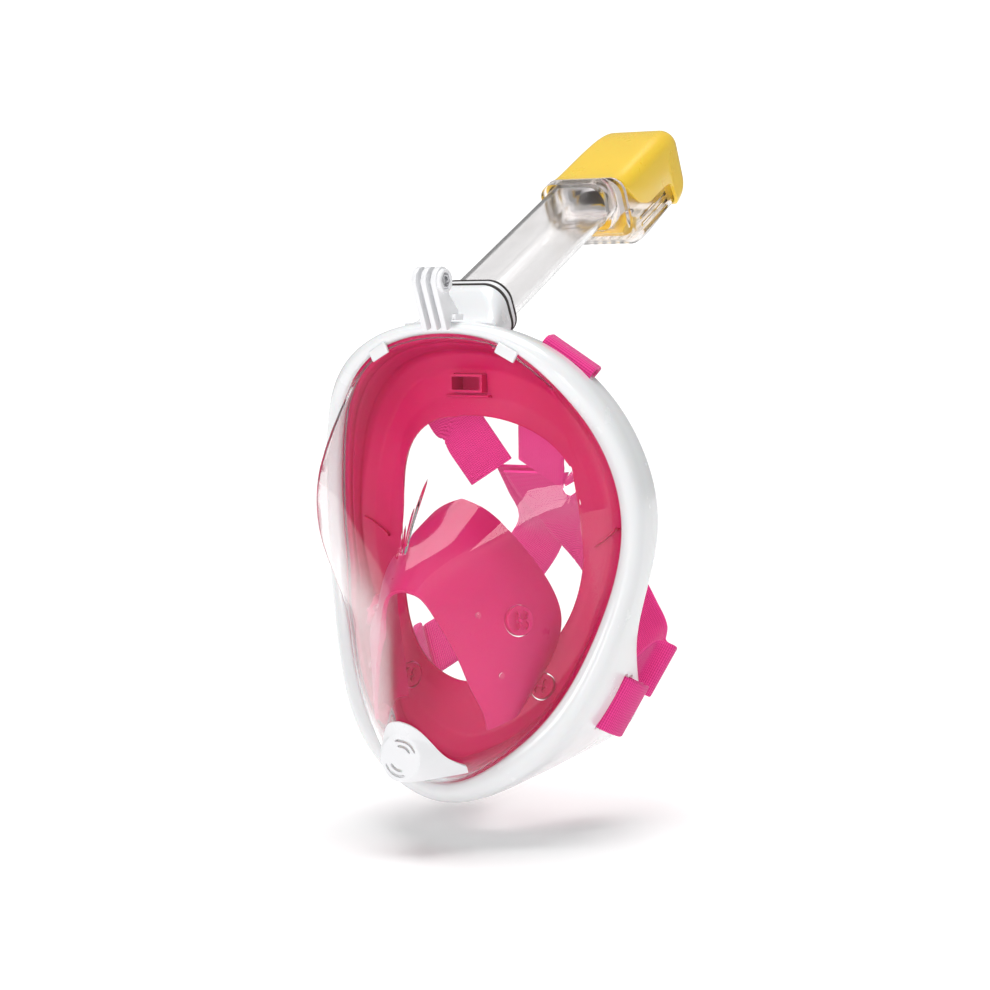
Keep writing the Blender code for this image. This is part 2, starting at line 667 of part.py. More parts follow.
def arc_slot(radius, width, middle, half_arc, ends):
    """Sections of a curved slot about z: an arc of this radius and width."""
    outline = []
    steps = 5
    for side in (-1, 1):
        for i in range(steps):
            share = (i / (steps - 1) * 2 - 1) * -side
            angle = math.radians(middle + half_arc * share)
            reach = radius + side * width / 2
            outline.append((reach * math.cos(angle), reach * math.sin(angle)))
    return [at_height(outline, z) for z in ends]


# ---------------------------------------------------------------- camera mount on the brow


def make_mount():
    middle_y, middle_z = FIN_AXIS
    outline = [(middle_y + FIN_RADIUS * math.cos(a), middle_z + FIN_RADIUS * math.sin(a))
               for a in (math.radians(200 - 20 * i) for i in range(13))]
    outline += list(FIN_FOOT)
    mount = None
    for i in range(FIN_COUNT):
        x = (i - (FIN_COUNT - 1) / 2) * FIN_PITCH
        name = "camera_mount" if mount is None else f"fin_form_{i}"
        fin = lofted(name, [[(x + s * FIN_THICK / 2, y, z) for y, z in outline] for s in (-1, 1)], WHITE)
        if mount is None:
            mount = fin
        else:
            combine(mount, fin, "UNION")
    combine(mount, lofted("foot_form", box((-9.6, -2.6, 127.3), (9.6, 5.4, 130.2)), WHITE), "UNION")
    side = FIN_PITCH + FIN_THICK / 2
    axis = empty("mount_screw_axis", (side, middle_y, middle_z), facing((1, 0, 0)))
    combine(mount, lofted("boss_form", [circle(6.4, 16, z) for z in (-0.6, 2.2)], WHITE, axis), "UNION")
    cut(mount, cutter("mount_hole", [circle(FIN_HOLE / 2, 12, z) for z in (-30, 10)], axis))
    cut(mount, cutter("nut_pocket", [circle(NUT_ACROSS / 2 + GAP, 6, z) for z in (-0.6, 4)], axis))
    nut = lofted("camera_mount_nut", [circle(NUT_ACROSS / 2, 6, z) for z in (-0.2, 1.8)], STEEL, axis)
    cut(nut, cutter("nut_bore", [circle(2.5, 12, z) for z in (-5, 5)], axis))


# ---------------------------------------------------------------- snorkel, along the tube axis
def make_socket_parts(tube_axis):
    """The seal and the collar round the tube where it meets the frame."""
    hole = (TUBE_SIZE[0] + 2 * GAP, TUBE_SIZE[1] + 2 * GAP)

    def band(name, low, high, grow, finish):
        outer = rounded_box((TUBE_SIZE[0] + grow, TUBE_SIZE[1] + grow), 8)
        inner = rounded_box(hole, 6)
        swept(name, [[(*a, low), (*a, high), (*b, high), (*b, low)] for a, b in zip(outer, inner)],
              finish, tube_axis)

    band("socket_seal", 0.0, 1.6, 8.0, BLACK)
    band("tube_collar", 2.0, 5.6, 6.4, WHITE)
    band("collar_seal", 6.0, 7.0, 6.8, BLACK)


def head_section(z, shrink=0.0):
    """The head's outline at this distance along the tube, drawn in by shrink on every side."""
    width, top, bottom = (np.interp(z, [h[0] for h in HEAD], [h[i] for h in HEAD]) for i in (1, 2, 3))
    return offset_box(z, width - 2 * shrink, top - shrink, bottom + shrink, HEAD_RADIUS - 0.6 * shrink)


def make_head(snorkel):
    """The clear valve housing and the cap that clips over its top end."""
    stations = [h[0] for h in HEAD]
    step_in = CAP_WALL + GAP
    low = [head_section(z) for z in stations if z < CAP_START] + [head_section(CAP_START - 0.4)]
    high = [head_section(z, step_in) for z in (CAP_START - 0.3, 155, 161, 200, 217, 227, 231)]
    housing = lofted("valve_housing", low + high, CLEAR, snorkel)
    inside = HOUSING_WALL + step_in
    room = [head_section(z, inside) for z in (150, 155, 161, 200, 217, 225)]
    cut(housing, cutter("housing_room", room, snorkel))
    bore = (TUBE_SIZE[0] + 2 * GAP, TUBE_SIZE[1] + 2 * GAP)
    cut(housing, cutter("housing_neck", [at_height(rounded_box(bore, 6), z) for z in (120, TUBE_END + 0.5)],
                        snorkel))
    cut(housing, cutter("housing_air", [offset_box(z, 30, 7, -10, 4) for z in (TUBE_END, 152)], snorkel))
    for i in range(GRILLE_SLOTS):
        x = GRILLE_PITCH * (i - (GRILLE_SLOTS - 1) / 2)
        cut(housing, cutter(f"grille_{i}", box((x - 1.5, 28, 164), (x + 1.5, 45, 207)), snorkel))
    for side in (1, -1):
        for down in (20.5, 25.0, 29.5):
            low, high = sorted((18 * side, 30 * side))
            slot = box((low, down, 166), (high, down + 2.2, 203))
            cut(housing, cutter(f"side_grille_{side}_{down}", slot, snorkel))
    cap = lofted("snorkel_cap", [head_section(z) for z in (CAP_START, 155, 161, 200, 217, 227, 233, 236)],
                 YELLOW, snorkel)
    cap_room = [head_section(z, CAP_WALL) for z in (CAP_START - 4, 150, 155, 161, 200, 217, 227, 232)]
    cut(cap, cutter("cap_room", cap_room, snorkel))
    cut(cap, cutter("cap_underside", [[(x, y, z) for y, z in CAP_CUT] for x in (-60, 60)], snorkel))


def make_float(snorkel):
    """The dry-top valve: a seat over the end of the tube, and a float that swings its seal onto it.

    The float is drawn closed about its hinge, and its axis then turns it to its open rest.
    """
    outer, inner = (offset_box(0, w, t, b, r) for w, t, b, r in ((34, 6.5, -13.5, 4), (26, 3.5, -9, 3)))
    low, high = 150 + GAP, 156
    swept("intake_valve_seat", [[(*a[:2], low), (*a[:2], high), (*b[:2], high), (*b[:2], low)]
                                for a, b in zip(outer, inner)], WHITE, snorkel)
    down, along = FLOAT_HINGE
    axis = empty("float_axis", (0, 0, 0))
    axis.parent = snorkel
    axis.matrix_parent_inverse = Matrix.Identity(4)
    axis.matrix_basis = (Matrix.Translation(Vector((0, down, along)) * MM)
                         @ Matrix.Rotation(-FLOAT_OPEN, 4, "X"))
    pin = empty("pin_axis", (0, 0, 0))
    pin.parent = axis
    pin.matrix_parent_inverse = Matrix.Identity(4)
    pin.matrix_basis = facing((1, 0, 0)).to_4x4()
    turned("float_hinge_pin", ((0, -21.4), (1.2, -21.4), (1.2, 21.4), (0, 21.4)), 10, STEEL, pin)
    body = lofted("float_body", box((-14, 2.4, 3), (14, 11, 20)), YELLOW, axis)
    combine(body, lofted("float_arm", box((-5, -18, -1.2), (5, 6, 4.2)), YELLOW, axis), "UNION")
    cut(body, cutter("pin_bore", [circle(1.5, 10, z) for z in (-30, 30)], pin))
    seal = [[(x, y - 11, z) for x, y, _ in at_height(rounded_box((29, 15), 4), 0)] for z in (-3.4, -1.6)]
    lofted("float_seal", seal, BLACK, axis)


def make_snorkel(tube_axis):
    snorkel = empty("snorkel_axis", (0, 0, 0))
    snorkel.matrix_world = tube_axis.matrix_world
    tube_rows = [(TUBE_SIZE, 7), ((TUBE_SIZE[0] - 2 * TUBE_WALL, TUBE_SIZE[1] - 2 * TUBE_WALL), 5.6)]
    outer, inner = (rounded_box(*row, steps=3) for row in tube_rows)
    swept("snorkel_tube", [[(*a, -SPIGOT), (*a, TUBE_END), (*b, TUBE_END), (*b, -SPIGOT)]
                           for a, b in zip(outer, inner)], CLEAR, snorkel)
    make_socket_parts(tube_axis)
    make_head(snorkel)
    make_float(snorkel)


# ---------------------------------------------------------------- straps
def ribbon(name, path, across, width, thick, finish=STRAP):
    """A flat band along the path; across gives the direction of its width at each point."""
    path = np.array(path, float)
    across = unit(np.array(across, float))
    ahead = unit(np.gradient(path, axis=0))
    up = unit(np.cross(ahead, across))
    rows = [np.array([p + a * width / 2 * i + u * thick / 2 * j for i, j in ((-1, -1), (1, -1), (1, 1), (-1, 1))])
            for p, a, u in zip(path, across, up)]
    fine = [rows[0]]
    for old, new, turn in zip(rows, rows[1:], np.linalg.norm(np.diff(across, axis=0), axis=1)):
        steps = 1 + int(turn * TWIST_STEPS)
        fine += [old + (new - old) * k / steps for k in range(1, steps + 1)]
    return lofted(name, fine, finish)


# Rows a band gets between two points for each radian its width turns, so that its faces stay apart.
TWIST_STEPS = 14
# How far the lower strap of the right lies behind that of the left where they cross.
REAR_LAYER = np.array([0, 3.8, 3.0])


def strap_way(place, side):
    """Points along the middle of a strap, and the directions of its width."""
    flip = np.array([side, 1, 1])
    lower = place == "lower"
    path = [by_slot(place, *p) * flip for p in (LOWER_LOOP if lower else UPPER_LOOP)]
    across = [slot_axes(place)[1] * flip] * len(path)
    for point, width in LOWER_RUN if lower else UPPER_RUN:
        behind = max(0.0, min(1.0, (40 - point[0]) / 15)) if lower and side == -1 else 0.0
        path.append(np.array(point) * flip + REAR_LAYER * behind)
        across.append(np.array(width) * flip)
    return path, across


def make_straps():
    for side, name in ((1, "left"), (-1, "right")):
        for place in ("upper", "lower"):
            ribbon(f"strap_{place}_{name}", *strap_way(place, side), STRAP_WIDTH, STRAP_THICK)


def make_duct():
    """The rigid duct that leads the air from the socket to the port above the eyes."""
    low, high = PORT_Z - PORT[1] / 2, PORT_Z + 21
    duct = lofted("air_duct", box((-15, 33.4, low - 2), (15, 45, high)), CLEAR)
    snout = box((-PORT[0] / 2, 24, low), (PORT[0] / 2, 35, low + PORT[1]))
    combine(duct, lofted("duct_snout", snout, CLEAR), "UNION")
    cut(duct, cutter("duct_room", box((-13, 35.4, low), (13, 43, high + 5))))
    cut(duct, cutter("duct_port", box((-PORT[0] / 2 + 1.5, 20, low + 1.5),
                                      (PORT[0] / 2 - 1.5, 38, low + PORT[1] - 1.5))))


def main():
    for old in list(bpy.data.objects):
        bpy.data.objects.remove(old)
    tube_turn = Matrix.Rotation(-TUBE_LEAN, 3, "X")
    tube_axis = empty("tube_axis", TUBE_SEAM, tube_turn)
    make_frame(tube_axis)
    make_lens()
    make_skirt()
    make_hood()
    x, z = PURGE_PLACE
    purge_axis = empty("purge_axis", (x, float(lens_y(x, z)) + 3.0, z), facing((0, -1, 0)))
    make_purge(purge_axis)
    for side, name in ((1, "left"), (-1, "right")):
        make_valve(f"inhale_valve_{name}", INHALE_RADIUS, empty(f"inhale_{name}_axis", *inhale_place(side)))
        make_valve(f"exhale_valve_{name}", EXHALE_RADIUS, empty(f"exhale_{name}_axis", *cheek_place(side)))
    make_mount()
    make_duct()
    make_snorkel(tube_axis)
    make_straps()
    for piece in bpy.data.objects:
        if piece.parent is None:
            piece.location -= Vector(ORIGIN) * MM


main()
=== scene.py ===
"""Full face snorkel mask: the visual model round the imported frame.

The design functions below work in millimetres in the mask's own drawing, whose origin lies ORIGIN
millimetres from the frame's; make() turns their points into metres in the frame.
"""
import math

import bmesh
import bpy
import numpy as np
from mathutils import Matrix, Vector


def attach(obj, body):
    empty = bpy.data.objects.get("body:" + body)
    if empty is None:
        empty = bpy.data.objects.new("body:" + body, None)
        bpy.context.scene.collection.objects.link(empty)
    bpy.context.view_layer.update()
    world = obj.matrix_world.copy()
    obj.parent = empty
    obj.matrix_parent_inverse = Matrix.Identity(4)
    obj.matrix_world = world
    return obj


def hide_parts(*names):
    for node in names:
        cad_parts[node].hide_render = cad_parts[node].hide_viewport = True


MM = 0.001
ORIGIN = np.array([0.0, 38.0, 0.0])

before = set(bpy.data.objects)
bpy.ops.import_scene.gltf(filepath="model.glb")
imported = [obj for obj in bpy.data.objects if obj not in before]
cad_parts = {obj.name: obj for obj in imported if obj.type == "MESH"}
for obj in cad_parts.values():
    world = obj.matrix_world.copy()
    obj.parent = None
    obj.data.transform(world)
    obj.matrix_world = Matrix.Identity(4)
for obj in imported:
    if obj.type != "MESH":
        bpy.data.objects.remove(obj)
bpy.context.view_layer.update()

# ---------------------------------------------------------------- sizes shared with the solids
RIM = ((0, 0, 120), (35, 0, 114), (63, 7, 93), (82, 24, 60), (89, 34, 14),
       (79, 27, -36), (62, 14, -76), (37, 3, -104), (0, -2, -121))
RIM_WIDTH = (6.5, 8.0, 11.5, 11.5, 10.5, 11.5, 13.0, 14.0, 11.5)
WALL_DEPTH = (28, 30, 30, 28, 27, 31, 82, 103, 50)
WALL_LEAN = (4, 3.5, 2.5, 2.0, 1.5, 2.0, 3.5, 4.5, 5.5)
WALL_THICK = 2.6
OPENING = ((0, 29, 75), (28, 33, 70), (50, 43, 52), (57, 48, 24), (58, 49, -4),
           (52, 45, -32), (38, 37, -54), (20, 29, -65), (0, 25, -69))
STATIONS = 192
PER_CAD = STATIONS // 48
LENS_THICK = 2.2
LENS_WALL = (0.35, 0.45, 1.3, 4.2, 5.5, 4.5, 3.0, 3.5, 4.5)
LENS_CENTRE_Z = 5
CLIP_STATION = 14
RIB_STATION = 46
PORT_LIP_Y = 29
SKIRT_THICK = 2.0
SKIRT_BACK = 5.8
CHEEK_OUTER, CHEEK_INNER = (0.42, 0.94, 1.0), (0.75, 1.0, 0.5)
CHEEK_STATION = 19
TUBE_LEAN = math.radians(62.5)
TUBE_SEAM = (0, 32, 131.5)
TUBE_SIZE = (38, 26)
TUBE_WALL = 2.0
TUBE_CORNER = 10.5
TUBE_END = 146
SPIGOT = 7
HEAD = ((134, 43, 15.5, -15.5), (140, 45, 15, -16), (146, 49, 13.5, -20), (150, 52, 12, -25),
        (155, 52, 11.3, -33), (161, 52, 11, -38), (200, 52, 11, -38), (217, 51, 10.5, -37.5),
        (227, 49, 9, -35), (233, 44, 5.5, -30), (236, 36, 1, -24))
HEAD_RADIUS = 9
CAP_START = 151
PURGE_PLACE = (0, -101)
PURGE_RADIUS = 11.4
STRAP_WIDTH = 32
STRAP_THICK = 1.6
SLOT_WIDTH = 5.4
GAP = 0.35
FORWARD_STEP = 20.0
FORWARD_FROM = 125.0
FORWARD = (0, 9, 16, 23, 29.5, 35.5, 41.5, 45, 46.5, 46.5, 45, 41.5, 36, 30)
PORT = (20, 10)
PORT_Z = 93
EXHALE_RADIUS = 7
INHALE_RADIUS = 8
HOOD_REAR = ((0, 20, 31), (17, 21, 24), (34, 24, 8), (47, 29, -10), (54, 33, -30), (50, 33, -50),
             (42, 28, -68), (35, 20, -80))
HOOD_FRONT = ((0, -13), (9, -16), (15, -25), (20, -38), (25, -52), (29, -66), (33, -78), (34, -88))
HOOD_THICK = 1.8
LENS_CLEARANCE = 4.4
COVER_TOP = ((0, -81), (5, -82.5), (10, -87), (15, -94.5), (20, -101.5), (25, -105.5))
COVER_BOTTOM = ((0, -112), (5, -111.8), (10, -111.2), (15, -110.2), (20, -109.4), (25, -108.6))
COVER_THICK = 1.6
DOME_RADIUS = 12.0
DOME_STAND = 3.4
SLOTS = {"upper": (5, 9, 0, None), "lower": (17, 26, -9, (-0.288, -0.241, -0.928))}
SECOND_SLOT = 9

FIN_THICK, FIN_PITCH, FIN_RADIUS, FIN_HOLE = 3.0, 6.1, 7.5, 5.2
FIN_AXIS = (-12, 147.5)
FIN_FOOT = ((-5.5, 140.5), (3.5, 132.5), (4.5, 127.4), (-3.4, 127.4), (-4.2, 122.8), (-8.0, 121.5))
NUT_ACROSS = 9.2
HOUSING_WALL = 2.0
CAP_WALL = 1.8
GRILLE_SLOTS, GRILLE_PITCH = 5, 6.0
SIDE_SLOTS = (20.5, 25.0, 29.5)
UPPER_LOOP = ((-6, 8, 0), (-6, 3.5, 0), (-3.4, 0, 0), (2, 0, 0), (4, 2.5, 0), (4, 6, 0), (3, 12.6, 0))
LOWER_LOOP = ((-6, -8, 0), (-6, -2, 0), (-4, 0, 0), (2.6, 0, 0), (5, 2, 0), (7.8, 8, 0), (9, 15, 0),
              (8, 19.5, 0), (5.6, 17.5, 0), (5.2, 12, 0), (2.6, 9, 0), (-4, 9, 0), (-6.5, 13, -2),
              (-7, 22, -9), (-7.5, 31, -17), (-6, 39, -23), (1, 42, -24), (2.5, 46, -24), (0, 49, -24),
              (-4.5, 47, -24))
UPPER_RUN = (((46, 48, 100), (0.6, 0.3, -0.75)), ((36, 54, 87), (0.8, 0.1, -0.55)),
             ((27, 61, 70), (0.85, 0.07, -0.5)), ((16, 79.5, 42), (0.85, 0.07, -0.5)))
LOWER_RUN = (((63, 121, -57), (-0.6, -0.3, -0.75)), ((52, 130, -44), (-0.77, -0.04, -0.64)),
             ((36, 137, -24), (-0.78, 0, -0.62)), ((20, 137, -4), (-0.85, 0.05, -0.5)),
             ((9, 122, 12), (-1, 0, -0.1)), ((5, 103, 27), (-1, 0, 0)), ((3.5, 87, 42), (-1, 0, 0)))
REAR_LAYER = np.array([0, 3.8, 3.0])
CAP_EDGE = ((-22, 150), (-12, 151), (-3, 154), (5.3, 160), (12, 167), (15.5, 176), (16, 190), (16.7, 203),
            (20, 210), (28, 212), (34, 215), (39, 224))  # under the tube's middle, along the tube
VENT_TURN = -25
WEFT_PITCH, WARP_PITCH = 1.15, 1.5


# ---------------------------------------------------------------- curves and surfaces
def unit(vectors):
    return vectors / np.linalg.norm(vectors, axis=-1, keepdims=True)


def mirrored(half, sign=-1):
    """The whole ring of values from the half on the +X side, top to chin."""
    half = np.array(half, float)
    other = half[-2:0:-1].copy()
    if half.ndim == 2:
        other[:, 0] *= sign
    return np.concatenate([half, other])


def ring(values, count=STATIONS):
    """count values on the smooth closed curve through these, a cyclic cubic spline."""
    knots = np.array(values, float)
    n = len(knots)
    ahead, behind = np.roll(knots, -1, 0), np.roll(knots, 1, 0)
    system = 4 * np.eye(n) + np.roll(np.eye(n), 1, 0) + np.roll(np.eye(n), -1, 0)
    bend = np.linalg.solve(system, 6 * (ahead - 2 * knots + behind))
    at = np.arange(count) * n / count
    first = at.astype(int)
    t = (at - first).reshape((-1,) + (1,) * (knots.ndim - 1))
    second = (first + 1) % n
    straight = (1 - t) * knots[first] + t * knots[second]
    return (straight + ((1 - t) ** 3 - (1 - t)) * bend[first] / 6
            + (t ** 3 - t) * bend[second] / 6)


def line(values, at):
    """The natural cubic spline through values at 0, 1, 2, ..., read at these places."""
    knots = np.array(values, float)
    n = len(knots)
    system = np.eye(n)
    push = np.zeros_like(knots)
    for i in range(1, n - 1):
        system[i, i - 1:i + 2] = 1, 4, 1
        push[i] = 6 * (knots[i + 1] - 2 * knots[i] + knots[i - 1])
    bend = np.linalg.solve(system, push)
    at = np.asarray(at, float)
    first = np.clip(at.astype(int), 0, n - 2)
    t = (at - first).reshape(at.shape + (1,) * (knots.ndim - 1))
    straight = (1 - t) * knots[first] + t * knots[first + 1]
    return (straight + ((1 - t) ** 3 - (1 - t)) * bend[first] / 6
            + (t ** 3 - t) * bend[first + 1] / 6)


def through(points, per_span=6):
    """A smooth path through the points: centripetal Catmull-Rom, so that it never overshoots."""
    points = np.array(points, float)
    points = np.concatenate([[2 * points[0] - points[1]], points, [2 * points[-1] - points[-2]]])
    path = []
    for a, b, c, d in zip(points, points[1:], points[2:], points[3:]):
        gaps = [max(np.linalg.norm(q - p), 1e-6) ** 0.5 for p, q in ((a, b), (b, c), (c, d))]
        k = np.cumsum([0] + gaps)
        for t in np.linspace(k[1], k[2], per_span, endpoint=False):
            def mix(p, q, low, high):
                return p * (high - t) / (high - low) + q * (t - low) / (high - low)
            ab, bc, cd = mix(a, b, k[0], k[1]), mix(b, c, k[1], k[2]), mix(c, d, k[2], k[3])
            path.append(mix(mix(ab, bc, k[0], k[2]), mix(bc, cd, k[1], k[3]), k[1], k[2]))
    path.append(points[-2])
    return np.array(path)


def rounded(points, radius, steps=4, closed=False):
    """The polyline with each corner replaced by a short curve of about this radius."""
    points = [np.array(p, float) for p in points]
    out = [] if closed else [points[0]]
    count = len(points)
    for i in range(0 if closed else 1, count if closed else count - 1):
        p, before, after = points[i], points[i - 1], points[(i + 1) % count]
        reach = [min(radius, 0.45 * np.linalg.norm(q - p)) for q in (before, after)]
        a = p + unit(before - p) * reach[0]
        b = p + unit(after - p) * reach[1]
        for t in np.linspace(0, 1, steps + 1):
            out.append((1 - t) ** 2 * a + 2 * t * (1 - t) * p + t * t * b)
    if not closed:
        out.append(points[-1])
    return out


RIM_RING = ring(mirrored(RIM))
OPENING_RING = ring(mirrored(OPENING))
WIDTH_RING = ring(mirrored(RIM_WIDTH))
DEPTH_RING = ring(mirrored(WALL_DEPTH))
LEAN_RING = ring(mirrored(WALL_LEAN))
TANGENT = np.roll(RIM_RING, -1, 0) - np.roll(RIM_RING, 1, 0)
OUTWARD = unit(np.stack([-TANGENT[:, 2], 0 * TANGENT[:, 0], TANGENT[:, 0]], 1))
LENS_WALL_RING = ring(mirrored(LENS_WALL))


def off_rim(k, out, back):
    """The point this far outwards of the rim and this far behind it, at station k."""
    return RIM_RING[k] + OUTWARD[k] * out + np.array([0, back, 0])


REAR_EDGE = np.array([off_rim(k, WIDTH_RING[k] - LEAN_RING[k], DEPTH_RING[k]) for k in range(STATIONS)])


def edge_axes(k):
    """At the wall's rear edge: the directions along it, out of the wall, and forwards within the wall."""
    along = unit(REAR_EDGE[(k + PER_CAD) % STATIONS] - REAR_EDGE[k - PER_CAD])
    out = unit(np.cross([0, 1, 0], along))
    out *= np.sign((out * OUTWARD[k]).sum())
    forward = np.cross(along, out)
    return along, out, forward * -np.sign(forward[1])


def by_edge(k, out, forward, along=0.0):
    axes = edge_axes(k)
    return REAR_EDGE[k] + axes[1] * out + axes[2] * forward + axes[0] * along


def eased(z, high, low, top=50.0, bottom=-45.0):
    """high above top, low below bottom, and a smooth change between them."""
    t = np.clip((top - z) / (top - bottom), 0, 1)
    t = t * t * (3 - 2 * t)
    return high + (low - high) * t


def lens_front(x, z):
    """y of the lens inside its crease: a wide visor above, a bow-shaped snout below."""
    forward = line(FORWARD, (FORWARD_FROM - z) / FORWARD_STEP)
    slope = eased(z, 0.83, 1.03)
    nose = eased(z, 60, 9)
    return -forward + np.sqrt((slope * x) ** 2 + nose ** 2) - nose


RAYS = RIM_RING[:, [0, 2]] - np.array([0, LENS_CENTRE_Z])
RAY_ANGLE = np.append(np.unwrap(np.arctan2(RAYS[:, 0], RAYS[:, 1])), 2 * math.pi)
RAY_REACH = np.linalg.norm(RAYS, axis=1)
RAY_SQUARE = (OUTWARD[:, [0, 2]] * unit(RAYS)).sum(1)


def lens_y(x, z):
    """y of the outer surface of the lens at any place inside the rim."""
    x, z = np.asarray(x, float), np.asarray(z, float)
    here = np.mod(np.arctan2(x, z - LENS_CENTRE_Z), 2 * math.pi)
    laps = np.arange(STATIONS + 1) % STATIONS

    def read(values):
        return np.interp(here, RAY_ANGLE, values[laps])

    far, across = read(RAY_REACH), read(RAY_SQUARE)
    inwards = np.clip(1 - np.hypot(x, z - LENS_CENTRE_Z) / far, 0, 1)
    rim_y, steep = read(RIM_RING[:, 1]), read(LENS_WALL_RING)
    wall = rim_y - steep * inwards * far * across
    front = lens_front(x, z)
    soft = eased(z, 1.5, 7.0, -40.0, -100.0)

    def joined(a, b):
        return (a + b + np.sqrt((a - b) ** 2 + soft ** 2)) / 2

    edge_x, edge_z = read(RIM_RING[:, 0]), read(RIM_RING[:, 2])
    excess = joined(lens_front(edge_x, edge_z), rim_y) - rim_y
    return joined(front, wall) - excess * (1 - inwards) ** 8


def crease_share(k):
    """How far in from the rim, as a share of the ray, the lens wall meets the window."""
    near, far = 0.0, 0.5
    ray = np.array([0, LENS_CENTRE_Z]) - RIM_RING[k, [0, 2]]
    reach = np.linalg.norm(ray)
    across = -(OUTWARD[k, [0, 2]] * ray).sum() / reach
    for _ in range(24):
        share = (near + far) / 2
        x, z = RIM_RING[k, [0, 2]] + ray * share
        wall = RIM_RING[k, 1] - LENS_WALL_RING[k] * share * reach * across
        if wall > lens_front(x, z):
            near = share
        else:
            far = share
    return max(near, 0.07)


def lens_normal(x, z, reach=0.5):
    slope_x = (lens_y(x + reach, z) - lens_y(x - reach, z)) / (2 * reach)
    slope_z = (lens_y(x, z + reach) - lens_y(x, z - reach)) / (2 * reach)
    return unit(np.array([float(slope_x), -1.0, float(slope_z)]))


# ---------------------------------------------------------------- materials
class Nodes:
    """A material's node tree, with short calls for the nodes that the finishes share."""

    def __init__(self, name, **shader):
        self.material = bpy.data.materials.new(name)
        self.material.use_nodes = True
        self.tree = self.material.node_tree
        self.shader = self.tree.nodes["Principled BSDF"]
        for key, value in shader.items():
            self.set(key.replace("_", " "), value)

    def set(self, key, value):
        if isinstance(value, tuple) and len(value) == 3 and "Radius" not in key:
            value = (*value, 1)
        self.shader.inputs[key].default_value = value

    def node(self, kind, inputs=(), **values):
        made = self.tree.nodes.new(kind)
        for key, value in values.items():
            setattr(made, key, value)
        for key, value in dict(inputs).items():
            made.inputs[key].default_value = value
        return made

    def link(self, out, to):
        self.tree.links.new(out, to)

    def noise(self, scale, detail=3.0, rough=0.5):
        """Noise over the object's own metres, with this many features to the metre."""
        made = self.node("ShaderNodeTexNoise", {"Scale": scale, "Detail": detail, "Roughness": rough})
        self.link(self.node("ShaderNodeTexCoord").outputs["Object"], made.inputs["Vector"])
        return made.outputs[0]

    def math(self, operation, *values):
        made = self.node("ShaderNodeMath", operation=operation)
        for socket, value in zip(made.inputs, values):
            if isinstance(value, (int, float)):
                socket.default_value = value
            else:
                self.link(value, socket)
        return made.outputs[0]

    def span(self, value, low, high, from_low=0.3, from_high=0.7):
        made = self.node("ShaderNodeMapRange", {"From Min": from_low, "From Max": from_high,
                                                "To Min": low, "To Max": high})
        self.link(value, made.inputs["Value"])
        return made.outputs["Result"]

    def mix(self, share, a, b):
        made = self.node("ShaderNodeMix", data_type="RGBA")
        self.link(share, made.inputs["Factor"])
        for key, value in (("A", a), ("B", b)):
            socket = [s for s in made.inputs if s.name == key and s.type == "RGBA"][0]
            if isinstance(value, tuple):
                socket.default_value = (*value, 1)
            else:
                self.link(value, socket)
        return [s for s in made.outputs if s.type == "RGBA"][0]

    def bump(self, height, distance, strength=1.0, under=None):
        made = self.node("ShaderNodeBump", {"Distance": distance, "Strength": strength})
        self.link(height, made.inputs["Height"])
        if under is not None:
            self.link(under, made.inputs["Normal"])
        self.link(made.outputs["Normal"], self.shader.inputs["Normal"])
        return made.outputs["Normal"]


def moulded(name, colour, rough, wear=0.04, grain=0.00002, **shader):
    """Opaque moulded plastic: faint flow marks in its colour and gloss, and a very fine grain."""
    made = Nodes(name, Base_Color=colour, Roughness=rough, **shader)
    cloud = made.noise(18, 4)
    darker = tuple(c * (1 - 2 * wear) for c in colour)
    made.link(made.mix(made.span(cloud, 0, 1), colour, darker), made.shader.inputs["Base Color"])
    made.link(made.span(made.noise(45, 5, 0.6), rough * 0.8, rough * 1.3), made.shader.inputs["Roughness"])
    made.bump(made.noise(900, 2), grain, 0.5)
    return made.material


def clear(name, tint, rough, ior):
    """Clear moulded plastic, with faint marks in its gloss."""
    made = Nodes(name, Base_Color=tint, Roughness=rough, IOR=ior, Transmission_Weight=1.0)
    made.link(made.span(made.noise(60, 4, 0.6), rough * 0.5, rough * 1.8), made.shader.inputs["Roughness"])
    made.bump(made.noise(25, 1), 0.00004, 0.35)
    return made.material


def silicone(name, colour, deep, rough=0.36):
    """Soft silicone: light goes a little way in, dust dulls it in patches, and the mould left it matt."""
    made = Nodes(name, Base_Color=colour, Roughness=rough, Subsurface_Weight=0.35,
                 Subsurface_Radius=(0.006, 0.0015, 0.002), Subsurface_Scale=0.8, Specular_IOR_Level=0.3)
    made.link(made.mix(made.span(made.noise(9, 3), 0, 1), colour, deep), made.shader.inputs["Base Color"])
    made.link(made.span(made.noise(35, 5, 0.65), rough * 0.8, rough * 1.35), made.shader.inputs["Roughness"])
    made.bump(made.noise(700, 3), 0.00003, 0.6, made.bump(made.noise(14, 2), 0.0006, 0.25))
    return made.material


